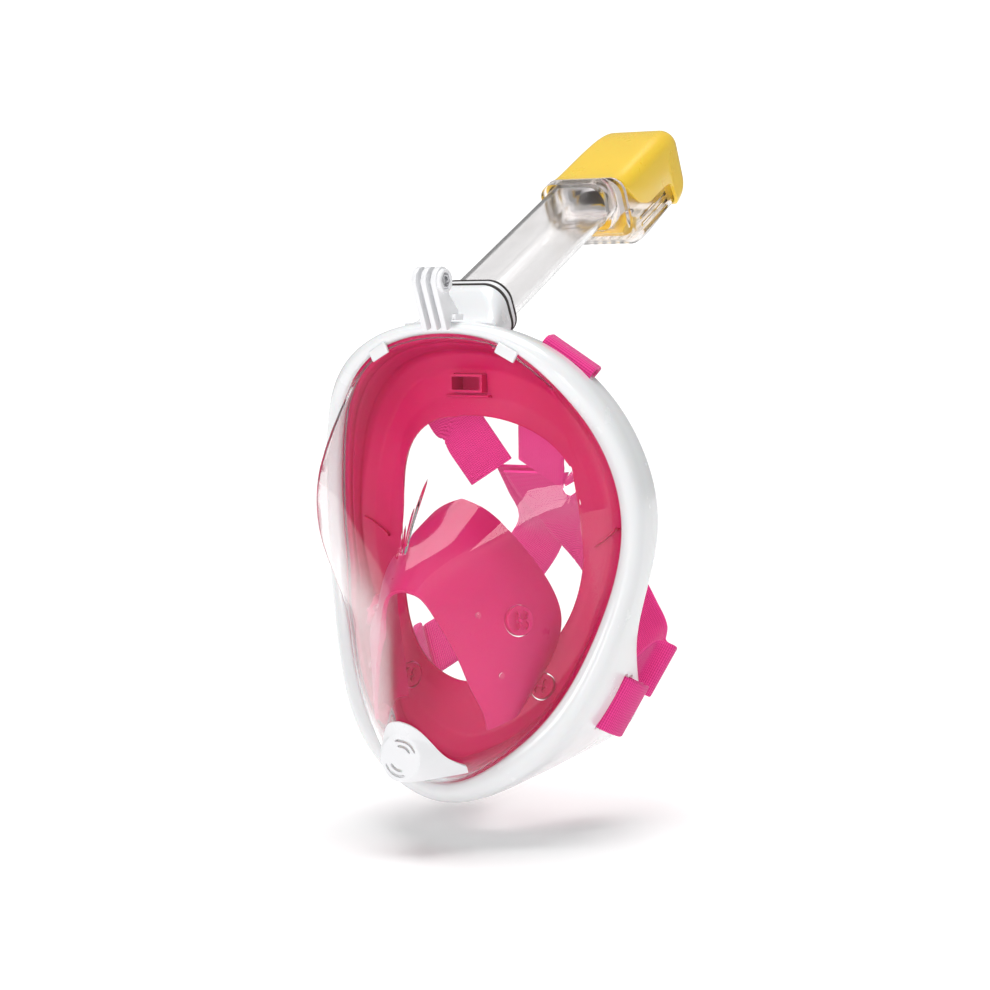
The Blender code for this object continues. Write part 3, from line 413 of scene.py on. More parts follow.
def webbing(name, pale, painted_groove_shade):
    """Woven elastic, drawn in the band's own millimetres: x across it and y along it. The pale and dark
    colours are the strap's lit and shaded colours; the dark one is painted shade in the grooves between the
    threads.
    """
    made = Nodes(name, Base_Color=pale, Roughness=0.78, Sheen_Weight=0.35, Sheen_Roughness=0.4,
                 Specular_IOR_Level=0.25)
    made.set("Sheen Tint", (1.0, 0.75, 0.85))
    band = made.node("ShaderNodeAttribute", attribute_name="band_place")
    split = made.node("ShaderNodeSeparateXYZ")
    made.link(band.outputs["Vector"], split.inputs["Vector"])
    across, along = split.outputs["X"], split.outputs["Y"]
    wobble = made.math("MULTIPLY", made.noise(60, 2), 0.35)
    weft = made.math("SINE", made.math("MULTIPLY", made.math("ADD", along, wobble), 2 * math.pi / WEFT_PITCH))
    warp = made.math("SINE", made.math("MULTIPLY", across, 2 * math.pi / WARP_PITCH))
    weft = made.math("POWER", made.math("MULTIPLY_ADD", weft, 0.5, 0.5), 0.7)
    warp = made.math("MULTIPLY_ADD", warp, 0.5, 0.5)
    cloth = made.math("ADD", made.math("MULTIPLY", weft, 0.72), made.math("MULTIPLY", warp, 0.28))
    fuzz = made.noise(1600, 3, 0.7)
    shade = made.math("ADD", made.math("MULTIPLY", cloth, 0.75), made.math("MULTIPLY", fuzz, 0.3))
    # painted shade: the dark colour is mixed in where the weave is low, in the grooves between the threads;
    # the fuzz varies it at random
    made.link(made.mix(made.span(shade, 0, 1, 0.15, 0.85), painted_groove_shade, pale), made.shader.inputs["Base Color"])
    made.bump(fuzz, 0.00008, 0.5, made.bump(cloth, 0.00028, 0.9))
    return made.material


def metal(name, colour, rough):
    made = Nodes(name, Base_Color=colour, Metallic=1.0, Roughness=rough)
    made.link(made.span(made.noise(120, 4, 0.7), rough * 0.7, rough * 1.4), made.shader.inputs["Roughness"])
    made.bump(made.noise(500, 2), 0.00003, 0.5)
    return made.material


WHITE = moulded("white_gloss_plastic", (0.79, 0.80, 0.81), 0.22, 0.012, Coat_Weight=0.35,
                Coat_Roughness=0.08, Subsurface_Weight=0.08, Subsurface_Scale=0.002)
VENT_WHITE = moulded("white_satin_plastic", (0.80, 0.805, 0.82), 0.32, 0.012)
LENS_CLEAR = clear("lens_polycarbonate", (0.99, 0.985, 0.985), 0.015, 1.27)
TUBE_CLEAR = clear("tube_clear_plastic", (0.93, 0.92, 0.92), 0.10, 1.35)
HEAD_CLEAR = clear("housing_clear_plastic", (0.985, 0.95, 0.925), 0.14, 1.25)
PIN_CLEAR = clear("pin_clear_plastic", (0.97, 0.9, 0.92), 0.08, 1.45)
PINK = silicone("pink_silicone", (0.58, 0.007, 0.105), (0.49, 0.004, 0.078))
HOOD_PINK = silicone("pink_hood_silicone", (0.67, 0.03, 0.175), (0.6, 0.018, 0.14), 0.34)
# The second colour is the strap's shaded colour, painted into the grooves of the weave as shade.
STRAP = webbing("pink_woven_elastic", (0.88, 0.06, 0.32), (0.55, 0.012, 0.14))
YELLOW = moulded("yellow_satin_plastic", (0.93, 0.62, 0.035), 0.3, 0.03, Coat_Weight=0.25,
                 Coat_Roughness=0.2, Subsurface_Weight=0.1, Subsurface_Scale=0.003)
BLACK = moulded("black_rubber", (0.03, 0.022, 0.02), 0.5, 0.1)
VALVE = silicone("valve_silicone", (0.85, 0.83, 0.80), (0.78, 0.76, 0.73))
STEEL = metal("stainless_steel", (0.6, 0.6, 0.62), 0.3)


# ---------------------------------------------------------------- meshes
def linked(name, data):
    """A new object in the scene."""
    made = bpy.data.objects.new(name, data)
    bpy.context.scene.collection.objects.link(made)
    return made


def make(name, points, faces, finish, place=None, sharp=35):
    """A mesh object from points in millimetres, in the drawing or under the matrix place."""
    points = np.array([list(p) for p in points], float)
    if place is not None:
        points = points @ place[:3, :3].T + place[:3, 3]
    shape = bmesh.new()
    corners = [shape.verts.new(p) for p in (points - ORIGIN) * MM]
    for face in faces:
        if len(set(face)) > 2:
            shape.faces.new([corners[i] for i in dict.fromkeys(face)])
    bmesh.ops.recalc_face_normals(shape, faces=shape.faces)
    mesh = bpy.data.meshes.new(name)
    shape.to_mesh(mesh)
    shape.free()
    mesh.shade_smooth()
    mesh.set_sharp_from_angle(angle=math.radians(sharp))
    mesh.materials.append(finish)
    made = linked(name, mesh)
    made["sharp"] = sharp
    return made


def shown(obj, body, *nodes, slot=None):
    """obj is final: its modifiers are applied, it rides on the body and stands for the nodes."""
    settle(obj)
    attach(obj, body)
    if nodes:
        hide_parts(*nodes)
    return obj


def settle(obj):
    """Applies the modifiers, and takes away the cutters that they used."""
    if not obj.modifiers:
        return
    bpy.context.view_layer.update()
    graph = bpy.context.evaluated_depsgraph_get()
    mesh = bpy.data.meshes.new_from_object(obj.evaluated_get(graph))
    tools = [m.object for m in obj.modifiers if m.type == "BOOLEAN"]
    obj.modifiers.clear()
    obj.data = mesh
    mesh.shade_smooth()
    mesh.set_sharp_from_angle(angle=math.radians(obj["sharp"]))
    for tool in tools:
        bpy.data.objects.remove(tool)


def combine(target, other, operation="DIFFERENCE"):
    settle(other)
    change = target.modifiers.new("join", "BOOLEAN")
    change.operation = operation
    change.object = other
    other.hide_render = True


def bevelled(obj, width, segments=3, angle=30):
    change = obj.modifiers.new("edges", "BEVEL")
    change.width = width * MM
    change.segments = segments
    change.limit_method = "ANGLE"
    change.angle_limit = math.radians(angle)
    change.harden_normals = False
    return obj


def grid_faces(rows, columns, wrap_rows, wrap_columns, start=0):
    faces = []
    for i in range(rows if wrap_rows else rows - 1):
        for j in range(columns if wrap_columns else columns - 1):
            a, b = i * columns + j, i * columns + (j + 1) % columns
            c = (i + 1) % rows * columns
            faces.append([start + a, start + b, start + c + (j + 1) % columns, start + c + j])
    return faces


def swept(name, grid, finish, place=None, sharp=35):
    grid = np.array(grid, float)
    rows, columns = grid.shape[:2]
    return make(name, grid.reshape(-1, 3), grid_faces(rows, columns, True, True), finish, place, sharp)


def lofted(name, sections, finish=None, place=None, sharp=35):
    sections = np.array(sections, float)
    rows, columns = sections.shape[:2]
    faces = grid_faces(rows, columns, False, True)
    faces.append(list(range(columns)))
    faces.append([(rows - 1) * columns + j for j in range(columns)])
    return make(name, sections.reshape(-1, 3), faces, finish or WHITE, place, sharp)


def grid_normals(grid, wrap):
    if wrap:
        along = np.roll(grid, -1, 0) - np.roll(grid, 1, 0)
    else:
        along = np.gradient(grid, axis=0)
    return unit(np.cross(along, np.gradient(grid, axis=1)))


def shell(name, grid, thick, finish, wrap=True, tip=None, sharp=35):
    """A sheet of this thickness on the grid's far side; with tip, the last column closes on it."""
    grid = np.array(grid, float)
    rows, columns = grid.shape[:2]
    other = grid + grid_normals(grid, wrap) * thick
    count = rows * columns
    faces = grid_faces(rows, columns, wrap, False) + grid_faces(rows, columns, wrap, False, count)
    points = [*grid.reshape(-1, 3), *other.reshape(-1, 3)]
    for i in range(rows if wrap else rows - 1):
        a, b = i * columns, (i + 1) % rows * columns
        faces.append([a, b, count + b, count + a])
        a, b = a + columns - 1, b + columns - 1
        if tip is None:
            faces.append([a, b, count + b, count + a])
        else:
            faces.append([a, b, 2 * count])
            faces.append([count + a, count + b, 2 * count + 1])
    if tip is not None:
        points += [np.array(tip, float), np.array(tip, float) + [0, abs(thick), 0]]
    if not wrap:
        for j in range(columns - 1):
            for row in (0, rows - 1):
                a = row * columns + j
                faces.append([a, a + 1, count + a + 1, count + a])
    return make(name, points, faces, finish, None, sharp)


def rounded_box(size, radius, steps=10):
    points = []
    for corner, (sx, sy) in enumerate(((1, 1), (-1, 1), (-1, -1), (1, -1))):
        for i in range(steps + 1):
            angle = math.pi / 2 * (corner + i / steps)
            points.append((sx * (size[0] / 2 - radius) + radius * math.cos(angle),
                           sy * (size[1] / 2 - radius) + radius * math.sin(angle)))
    return points


def offset_box(z, width, top, bottom, radius):
    middle = -(top + bottom) / 2
    radius = min(radius, (top - bottom) / 2 - 0.3)
    return [(x, y + middle, z) for x, y in rounded_box((width, top - bottom), radius)]


def at_height(outline, z):
    return [(x, y, z) for x, y in outline]


def circle(radius, sides, z, middle=(0, 0), turn=0.0):
    return [(middle[0] + radius * math.cos(turn + 2 * math.pi * i / sides),
             middle[1] + radius * math.sin(turn + 2 * math.pi * i / sides), z) for i in range(sides)]


def box(low, high):
    return [[(low[0], low[1], z), (high[0], low[1], z), (high[0], high[1], z), (low[0], high[1], z)]
            for z in (low[2], high[2])]


def placed(position, direction=None, turn=None):
    """A matrix in millimetres at the position, whose z points along direction."""
    made = np.eye(4)
    rotation = turn if turn is not None else Vector(direction).to_track_quat("Z", "Y").to_matrix()
    made[:3, :3] = np.array(rotation)
    made[:3, 3] = position
    return made


def turned(name, profile, finish, place=None, sides=48, sharp=35):
    """A solid of revolution about z from (radius, z) points; radius 0 ends it on the axis."""
    points, faces, rows = [], [], []
    for radius, z in profile:
        if radius == 0:
            rows.append([len(points)])
            points.append((0, 0, z))
        else:
            rows.append(list(range(len(points), len(points) + sides)))
            points += circle(radius, sides, z)
    closed = profile[0][0] != 0
    pairs = list(zip(rows, rows[1:] + rows[:1])) if closed else list(zip(rows, rows[1:]))
    for low, high in pairs:
        for i in range(sides):
            j = (i + 1) % sides
            faces.append([low[i % len(low)], low[j % len(low)], high[j % len(high)], high[i % len(high)]])
    return make(name, points, faces, finish, place, sharp)


TUBE_PLACE = placed(TUBE_SEAM, turn=Matrix.Rotation(-TUBE_LEAN, 3, "X"))
TUBE_HOLE = (TUBE_SIZE[0] + 2 * GAP, TUBE_SIZE[1] + 2 * GAP)


def tube_bore(name, low, high):
    """A cutter for the hole that the tube stands in."""
    outline = rounded_box(TUBE_HOLE, TUBE_CORNER)
    return lofted(name, [at_height(outline, z) for z in (low, high)], None, TUBE_PLACE)


def bore(name, radius, low, high, place, sides=48, middle=(0, 0)):
    """A round cutter on the z of the matrix place."""
    return lofted(name, [circle(radius, sides, z, middle) for z in (low, high)], None, place)


def both_sides(station):
    """The station and its mirror image."""
    return station, STATIONS - station


# ---------------------------------------------------------------- frame
def frame_section(k):
    width, depth, lean = WIDTH_RING[k], DEPTH_RING[k], LEAN_RING[k]
    middle = (depth + 6) / 2
    rear = width - lean
    crown = through([(0, 0.8, 0), (1.4, -1.2, 0), (0.5 * width, -2.0, 0), (0.85 * width, 0.6, 0),
                     (width, 5.0, 0), (width - 0.3 * lean, middle, 0)], 5)[:, :2]
    inner = width - 3.3
    back = rounded([(width - 0.3 * lean, middle), (rear, depth), (rear - WALL_THICK, depth),
                    (inner - 0.3 * lean, middle), (inner, 9.5), (inner, 2.8), (0, 2.8)], 1.1, 3)
    return [*crown[:-1], *back]


def slot_axes(place):
    """The slot's middle on the wall, and the directions along it, out of the wall, and backwards."""
    k, forward, along, aim = SLOTS[place]
    axes = edge_axes(k * PER_CAD)
    width = unit(aim - axes[1] * np.dot(aim, axes[1])) if aim else axes[0]
    back = np.cross(axes[1], width)
    return by_edge(k * PER_CAD, 0, forward, along), width, axes[1], back * np.sign(back[1])


def by_slot(place, out, back, along=0.0):
    middle, width, outward, backward = slot_axes(place)
    return middle + outward * out + backward * back + width * along


def strap_slot(place, side, back):
    length = STRAP_WIDTH + 3
    outline = rounded([(a * length / 2, back + b * SLOT_WIDTH / 2)
                       for a, b in ((-1, -1), (1, -1), (1, 1), (-1, 1))], 2.2, 5, closed=True)
    sections = [[by_slot(place, end, behind, along) * [side, 1, 1] for along, behind in outline]
                for end in (-9, 8)]
    return lofted("slot_cutter", sections)


def make_frame():
    sections = [[off_rim(k, *p) for p in frame_section(k)] for k in range(STATIONS)]
    frame_shell = swept("frame_shell", sections, WHITE)
    steps = line([(-0.4, 45, 16.5, -16.5), (-6, 45.5, 15.5, -15), (-13, 48, 10, -9), (-20, 52, 5.5, -4),
                  (-25, 57, 6.4, 3.7)], np.linspace(0, 4, 25))
    neck = lofted("neck_form", [offset_box(*step, radius=2 + abs(step[2] - step[3]) / 3.3) for step in steps],
                  WHITE, TUBE_PLACE)
    combine(frame_shell, neck, "UNION")
    combine(frame_shell, tube_bore("neck_cutter", -SPIGOT - 0.7, 10))
    air = [offset_box(z, 26, 4, -10, 3) for z in (-11, 5)]
    combine(frame_shell, lofted("air_cutter", air, None, TUBE_PLACE))
    combine(frame_shell, lofted("drop_cutter", box((-13, 29, 108), (13, 36, 127))))
    for side in (1, -1):
        for place, behind in (("upper", 0), ("lower", 0), ("lower", SECOND_SLOT)):
            combine(frame_shell, strap_slot(place, side, behind))
    shown(frame_shell, "mask", "main_frame")
    for k in both_sides(CLIP_STATION):
        along = unit(TANGENT[k])
        middle = off_rim(k, -1.6, -1.4)
        sections = [[middle + along * a + OUTWARD[k] * out + [0, y, 0]
                     for out, y in rounded_box((6.4, 2.2), 0.9, 5)] for a in (-6, 6)]
        shown(bevelled(lofted("lens_clip", sections, WHITE), 0.5, 3, 40), "mask", slot="white_plastic")


# ---------------------------------------------------------------- lens and its purge valve
def lens_grid():
    """Outer surface, from the edge clamped in the frame to just before the middle."""
    grid = []
    inner = np.linspace(0, 1, 34)[1:-1] ** 0.85
    for k in range(STATIONS):
        crease = crease_share(k)
        shares = list(crease * np.linspace(0, 1, 9)[1:]) + [crease + (1 - crease) * f for f in inner]
        edge = ((WIDTH_RING[k] - 3.7, 3.15), (-0.4, 3.15), (-0.4, -0.5))
        row = rounded([off_rim(k, *p) for p in edge], 0.5, 2)
        start, ray = row[-1][[0, 2]], np.array([0, LENS_CENTRE_Z]) - row[-1][[0, 2]]
        for share in shares:
            x, z = start + ray * share
            row.append(np.array([x, 0, z]))
        grid.append(row)
    grid = np.array(grid)
    fixed = grid.shape[1] - len(shares)
    grid[:, fixed:, 1] = lens_y(grid[:, fixed:, 0], grid[:, fixed:, 2])
    return grid


def make_lens():
    tip = (0, float(lens_y(0, LENS_CENTRE_Z)), LENS_CENTRE_Z)
    lens = shell("lens_shell", lens_grid(), LENS_THICK, LENS_CLEAR, tip=tip, sharp=50)
    hole = placed((PURGE_PLACE[0], -30, PURGE_PLACE[1]), (0, -1, 0))
    combine(lens, bore("lens_hole_cutter", PURGE_RADIUS + 0.6, -8, 40, hole, 64))
    shown(lens, "mask", "lens")


def cover_grid(columns=41, spread=81):
    """Outer surface of the purge cover: it follows the snout and stands clear over the valve."""
    face = float(lens_y(*PURGE_PLACE)) - DOME_STAND
    grid = []
    for i in range(spread):
        share = 2 * i / (spread - 1) - 1
        at = abs(share) * (len(COVER_TOP) - 1)
        top, bottom = line(COVER_TOP, at), line(COVER_BOTTOM, at)
        x = top[0] * (1 if share >= 0 else -1)
        row = []
        for j in range(columns):
            z = top[1] + (bottom[1] - top[1]) * j / (columns - 1)
            skin = np.array([x, float(lens_y(x, z)), z]) + lens_normal(x, z) * (0.6 + COVER_THICK)
            away = math.hypot(skin[0] - PURGE_PLACE[0], skin[2] - PURGE_PLACE[1])
            beyond = max(0.0, away - DOME_RADIUS)
            dome = face + 1.6 * beyond
            low = min(skin[1], dome)
            skin[1] = (skin[1] + dome - math.sqrt((skin[1] - dome) ** 2 + 1.2)) / 2 if beyond > 0 else low
            row.append(skin)
        grid.append(row)
    return np.array(grid)


def arc_slot(radius, width, middle, half_arc, ends, steps=17):
    outline = []
    for side in (-1, 1):
        for i in range(steps):
            share = (i / (steps - 1) * 2 - 1) * -side
            angle = math.radians(middle + half_arc * share)
            thick = width * math.sqrt(max(0.0, 1 - (abs(share) ** 6)))
            reach = radius + side * max(thick, 0.25) / 2
            outline.append((reach * math.cos(angle), reach * math.sin(angle)))
    return [at_height(outline, z) for z in ends]


def valve(name, radius, axis, nodes, bodies, seat_finish, flap_finish, depth=4.0):
    """A one-way valve on the axis: a seat with a spider of four windows, and a silicone disc above it."""
    inner, front = radius - 1.4, -depth / 2
    profile = ((0, front), (radius - 0.3, front), (radius, front + 0.3), (radius, -front - 0.3),
               (radius - 0.3, -front), (inner, -front), (inner, front + 1.6), (0, front + 1.6))
    seat = turned(f"{name}_seat_ring", profile, seat_finish, axis)
    for i in range(4):
        turn = math.pi / 2 * i + math.pi / 4
        middle = (inner * 0.56 * math.cos(turn), inner * 0.56 * math.sin(turn))
        combine(seat, bore("window", inner * 0.34, -depth, depth, axis, 24, middle))
    profile = ((0, front - 1.4), (1.0, front - 1.2), (1.3, front - 0.5), (1.3, front + 0.2), (0, front + 0.3))
    peg = turned(f"{name}_peg", profile, seat_finish, axis, 24)
    shown(seat, bodies[0], nodes[0])
    shown(peg, bodies[0], slot="clear_plastic")
    low = front + 1.6 + GAP
    profile = ((0, low), (inner - 0.7, low), (inner - 0.5, low + 0.3), (inner - 0.7, low + 0.8),
               (0, low + 0.9))
    shown(turned(f"{name}_flap", profile, flap_finish, axis), bodies[1], nodes[1])


def make_purge():
    x, z = PURGE_PLACE
    axis = placed((x, float(lens_y(x, z)) + 3.0, z), (0, -1, 0))
    cover = shell("purge_cover_shell", cover_grid(), COVER_THICK, VENT_WHITE, wrap=False)
    for radius, middle, arc in ((9.5, VENT_TURN + 90, 44), (6.5, VENT_TURN + 90, 38),
                                (9.5, VENT_TURN + 270, 44), (6.5, VENT_TURN + 270, 38)):
        combine(cover, lofted("vent", arc_slot(radius, 1.5, middle, arc, (-14, 20)), None, axis))
    shown(cover, "mask", "purge_cover")
    valve("purge", PURGE_RADIUS, axis, ("purge_valve_seat", "purge_valve_disc"), ("mask", "purge_disc"),
          VENT_WHITE, VALVE, 5.0)


# ---------------------------------------------------------------- silicone skirt and nose hood
def skirt_point(k, share, depth_share, more=0.0):
    """The skirt at station k: share of the way from rim to opening, depth_share of the way back."""
    rim, lip = RIM_RING[k], OPENING_RING[k]
    place = rim + (lip - rim) * share
    place[1] = rim[1] + SKIRT_BACK + (lip[1] - rim[1] - SKIRT_BACK) * depth_share + more
    return place


def skirt_grid():
    """Front surface of the skirt, from the clamped edge to its curled lip."""
    grid = []
    for k in range(STATIONS):
        rim, lip = RIM_RING[k], OPENING_RING[k]
        row = [off_rim(k, WIDTH_RING[k] - 3.9, SKIRT_BACK), off_rim(k, -3.2, SKIRT_BACK)]
        ledge, wall = skirt_point(k, 0.14, 0.28), skirt_point(k, 0.24, 0.68, 1.5)
        edge = row[-1]
        row += [edge + (ledge - edge) * 0.5, edge + (ledge - edge) * 0.5 + [0, 1.6, 0], ledge]
        row += [ledge + (wall - ledge) * 0.55, ledge + (wall - ledge) * 0.6 + [0, 1.4, 0], wall]
        row += [skirt_point(k, *CHEEK_OUTER), skirt_point(k, *CHEEK_INNER)]
        outward = unit((rim - lip) * [1, 0, 1])
        row += [lip, lip + outward * 1.5 + [0, 4, 0], lip + outward * 8 + [0, 9.5, 0]]
        grid.append(rounded(row, 1.6, 4))
    return grid


def cad_skirt_point(k):
    """The middle and normal of the cheek panel at station k of the solid's skirt."""
    k *= PER_CAD
    outer, inner = skirt_point(k, *CHEEK_OUTER), skirt_point(k, *CHEEK_INNER)
    along = skirt_point(k + PER_CAD, *CHEEK_OUTER) - skirt_point(k - PER_CAD, *CHEEK_OUTER)
    across = (inner - skirt_point(k, 0.24, 0.68, 1.5)) / 2
    normal = unit(np.cross(along, across))
    return (outer + inner) / 2 + normal * SKIRT_THICK / 2, normal


def cheek_place(side):
    place, normal = cad_skirt_point(CHEEK_STATION)
    return placed(place * [side, 1, 1], normal * [side, 1, 1])


def make_skirt():
    skirt = shell("skirt_shell", skirt_grid(), SKIRT_THICK, PINK, sharp=60)
    combine(skirt, lofted("port_cutter", box((-PORT[0] / 2 - GAP, 0, PORT_Z - PORT[1] / 2 - GAP),
                                             (PORT[0] / 2 + GAP, 60, PORT_Z + PORT[1] / 2 + GAP))))
    for side in (1, -1):
        combine(skirt, bore("cheek_cutter", EXHALE_RADIUS + 2 * GAP, -8, 8, cheek_place(side)))
    shown(skirt, "mask", "face_skirt")
    lip = lofted("port_lip", box((-PORT[0] / 2 - 3, PORT_LIP_Y - 3.6, PORT_Z - PORT[1] / 2 - 2.6),
                                 (PORT[0] / 2 + 3, PORT_LIP_Y + 2, PORT_Z - PORT[1] / 2 - 1.2)), PINK)
    shown(bevelled(lip, 0.5, 3), "mask", slot="pink_silicone")
    for k in both_sides(RIB_STATION):
        middles = [skirt_point(k, *p, -0.6) for p in ((0.3, 0.72), (0.42, 0.94), (0.6, 0.98), (0.75, 1.0))]
        sections = [[(x, y + b, z + a) for a, b in rounded_box((1.5, 3.0), 0.6, 4)] for x, y, z in middles]
        shown(lofted("skirt_rib", sections, PINK), "mask", slot="pink_silicone")


def hood_grid(steps=121, columns=33):
    rows = []
    half = (steps - 1) // 2
    for i in range(steps):
        side = 1 if i >= half else -1
        at = abs(i - half) / half * (len(HOOD_REAR) - 1)
        rear = line(HOOD_REAR, at) * [side, 1, 1]
        x, z = line(HOOD_FRONT, at) * [side, 1]
        front = np.array([x, float(lens_y(x, z)) + LENS_CLEARANCE, z])
        row = []
        for j in range(columns):
            share = j / (columns - 1)
            swell = 5 * math.sin(math.pi * share)
            row.append(rear + (front - rear) * share + np.array([0.8 * side * min(at, 2), 0, 0.35]) * swell)
        rows.append(row)
    return np.array(rows)


def hood_place(row, column):
    """The place on the hood's outside at this row and column of the solid's 21 by 5 grid."""
    grid = hood_grid(21, 5)
    normals = -grid_normals(grid, False)
    return grid[row, column], normals[row, column]


def make_hood():
    hood = shell("nose_hood_shell", hood_grid(), HOOD_THICK, HOOD_PINK, wrap=False, sharp=60)
    for side, name in ((1, "left"), (-1, "right")):
        place, normal = hood_place(10 + 5 * side, 2)
        axis = placed(place, -normal)
        combine(hood, bore("hood_cutter", INHALE_RADIUS + 2 * GAP, -12, 12, axis))
        for way, radius, where, finish in (("inhale", INHALE_RADIUS, axis, HOOD_PINK),
                                           ("exhale", EXHALE_RADIUS, cheek_place(side), PINK)):
            valve(f"{way}_{name}", radius, where, [f"{way}_valve_{name}_{part}" for part in ("seat", "disc")],
                  ("mask", f"{way}_disc_{name}"), finish, finish)
    shown(hood, "mask", "nose_hood")
    stud = ((0, 0.2), (1.7, 0.2), (1.75, 0.7), (1.5, 1.25), (1.0, 1.7), (0, 1.85))
    for number, row in enumerate((14, 17, 6, 3), 1):
        pin = turned(f"hood_stud_{number}", stud, PIN_CLEAR, placed(*hood_place(row, 3)), 32)
        shown(pin, "mask", f"hood_pin_{number}")


# ---------------------------------------------------------------- camera mount on the brow
def make_mount():
    middle_y, middle_z = FIN_AXIS
    outline = [(middle_y + FIN_RADIUS * math.cos(a), middle_z + FIN_RADIUS * math.sin(a))
               for a in (math.radians(200 - 5 * i) for i in range(49))]
    outline += list(FIN_FOOT)
    mount = None
    for i in range(3):
        x = (i - 1) * FIN_PITCH
        fin = lofted("camera_mount_body" if mount is None else "fin_form",
                     [[(x + s * FIN_THICK / 2, y, z) for y, z in outline] for s in (-1, 1)], VENT_WHITE)
        if mount is None:
            mount = fin
        else:
            combine(mount, fin, "UNION")
    combine(mount, lofted("foot_form", box((-9.6, -2.6, 127.3), (9.6, 5.4, 130.2)), VENT_WHITE), "UNION")
    axis = placed((FIN_PITCH + FIN_THICK / 2, middle_y, middle_z), (1, 0, 0))
    boss = ((0, -0.6), (6.4, -0.6), (6.4, 1.7), (5.9, 2.2), (0, 2.2))
    combine(mount, turned("boss_form", boss, VENT_WHITE, axis, 64), "UNION")
    combine(mount, bore("mount_hole", FIN_HOLE / 2, -30, 10, axis))
    combine(mount, bore("nut_pocket", NUT_ACROSS / 2 + GAP, -0.6, 4, axis, 6))
    bevelled(mount, 0.3, 2, 50)
    shown(mount, "mask", "camera_mount")
    nut = lofted("mount_hex_nut", [circle(NUT_ACROSS / 2, 6, z) for z in (-0.2, 1.8)], STEEL, axis)
    combine(nut, bore("nut_bore", 2.5, -5, 5, axis, 32))
    bevelled(nut, 0.25, 2, 40)
    shown(nut, "mask", "camera_mount_nut")


# ---------------------------------------------------------------- snorkel
def band(name, low, high, grow, finish, body, node, radius=12, edge=0.4):
    outer = rounded_box((TUBE_SIZE[0] + grow, TUBE_SIZE[1] + grow), radius)
    inner = rounded_box(TUBE_HOLE, TUBE_CORNER)
    slim = rounded_box((TUBE_SIZE[0] + grow - 2 * edge, TUBE_SIZE[1] + grow - 2 * edge), radius - edge)
    made = swept(name, [[(*s, low), (*a, low + edge), (*a, high - edge), (*s, high), (*b, high), (*b, low)]
                        for s, a, b in zip(slim, outer, inner)], finish, TUBE_PLACE)
    shown(made, body, node)


def make_tube():
    outer, inner = (rounded_box(size, radius, 12) for size, radius in
                    ((TUBE_SIZE, TUBE_CORNER),
                     ((TUBE_SIZE[0] - 2 * TUBE_WALL, TUBE_SIZE[1] - 2 * TUBE_WALL), TUBE_CORNER - TUBE_WALL)))
    ends = (-SPIGOT, *np.linspace(0, TUBE_END, 12))
    rows = [[(*a, z) for z in ends] + [(*b, z) for z in ends[::-1]] for a, b in zip(outer, inner)]
    shown(swept("snorkel_tube_shell", rows, TUBE_CLEAR, TUBE_PLACE), "snorkel", "snorkel_tube")
    band("socket_seal_ring", 0.0, 1.6, 8.0, BLACK, "mask", "socket_seal")
    band("tube_collar_ring", 2.0, 5.6, 6.4, VENT_WHITE, "snorkel", "tube_collar")
    band("collar_seal_ring", 6.0, 7.0, 6.8, BLACK, "snorkel", "collar_seal", edge=0.25)


HEAD_FINE = through([(*h,) for h in HEAD], 6)


def head_section(z, shrink=0.0):
    width, top, bottom = (np.interp(z, HEAD_FINE[:, 0], HEAD_FINE[:, i]) for i in (1, 2, 3))
    return offset_box(z, width - 2 * shrink, top - shrink, bottom + shrink, HEAD_RADIUS - 0.6 * shrink)


def make_head():
    step_in = CAP_WALL + GAP
    low = [head_section(z) for z in np.linspace(HEAD[0][0], CAP_START - 0.5, 18)]
    high = [head_section(z, step_in) for z in (CAP_START - 0.3, *np.linspace(153, 231, 40))]
    housing = lofted("valve_housing_shell", low + high, HEAD_CLEAR, TUBE_PLACE)
    inside = HOUSING_WALL + step_in
    room = [head_section(z, inside) for z in np.linspace(150, 225, 30)]
    combine(housing, lofted("housing_room", room, None, TUBE_PLACE))
    combine(housing, tube_bore("housing_neck", 120, TUBE_END + 0.5))
    air = [offset_box(z, 30, 7, -10, 4) for z in (TUBE_END, 152)]
    combine(housing, lofted("housing_air", air, None, TUBE_PLACE))
    for i in range(GRILLE_SLOTS):
        x = GRILLE_PITCH * (i - (GRILLE_SLOTS - 1) / 2)
        combine(housing, lofted("grille", box((x - 1.5, 28, 164), (x + 1.5, 45, 207)), None, TUBE_PLACE))
    for side in (1, -1):
        for down in SIDE_SLOTS:
            low, high = sorted((18 * side, 30 * side))
            slot = box((low, down, 166), (high, down + 2.2, 203))
            combine(housing, lofted("side_grille", slot, None, TUBE_PLACE))
    shown(housing, "snorkel", "valve_housing")

    cap = lofted("snorkel_cap_shell", [head_section(z) for z in (*np.linspace(CAP_START, 233, 60), 236)],
                 YELLOW, TUBE_PLACE)
    room = [head_section(z, CAP_WALL) for z in (CAP_START - 4, *np.linspace(150, 232, 40))]
    combine(cap, lofted("cap_room", room, None, TUBE_PLACE))
    edge = through([(*p, 0) for p in CAP_EDGE], 6)[:, :2]
    outline = [(70, 150), *[(v, s) for v, s in edge], (70, 224)]
    underside = [[(x, v, s) for v, s in outline] for x in (-60, 60)]
    combine(cap, lofted("cap_underside", underside, None, TUBE_PLACE))
    bevelled(cap, 0.45, 2, 40)
    shown(cap, "snorkel", "snorkel_cap")


# ---------------------------------------------------------------- straps
def strap_way(place, side):
    """Points along the middle of a strap, and the directions of its width."""
    flip = np.array([side, 1, 1])
    lower = place == "lower"
    path = [by_slot(place, *p) * flip for p in (LOWER_LOOP if lower else UPPER_LOOP)]
    across = [slot_axes(place)[1] * flip] * len(path)
    for point, width in LOWER_RUN if lower else UPPER_RUN:
        behind = max(0.0, min(1.0, (40 - point[0]) / 15)) if lower and side == -1 else 0.0
        path.append(np.array(point) * flip + REAR_LAYER * behind)
        across.append(np.array(width) * flip)
    return path, across


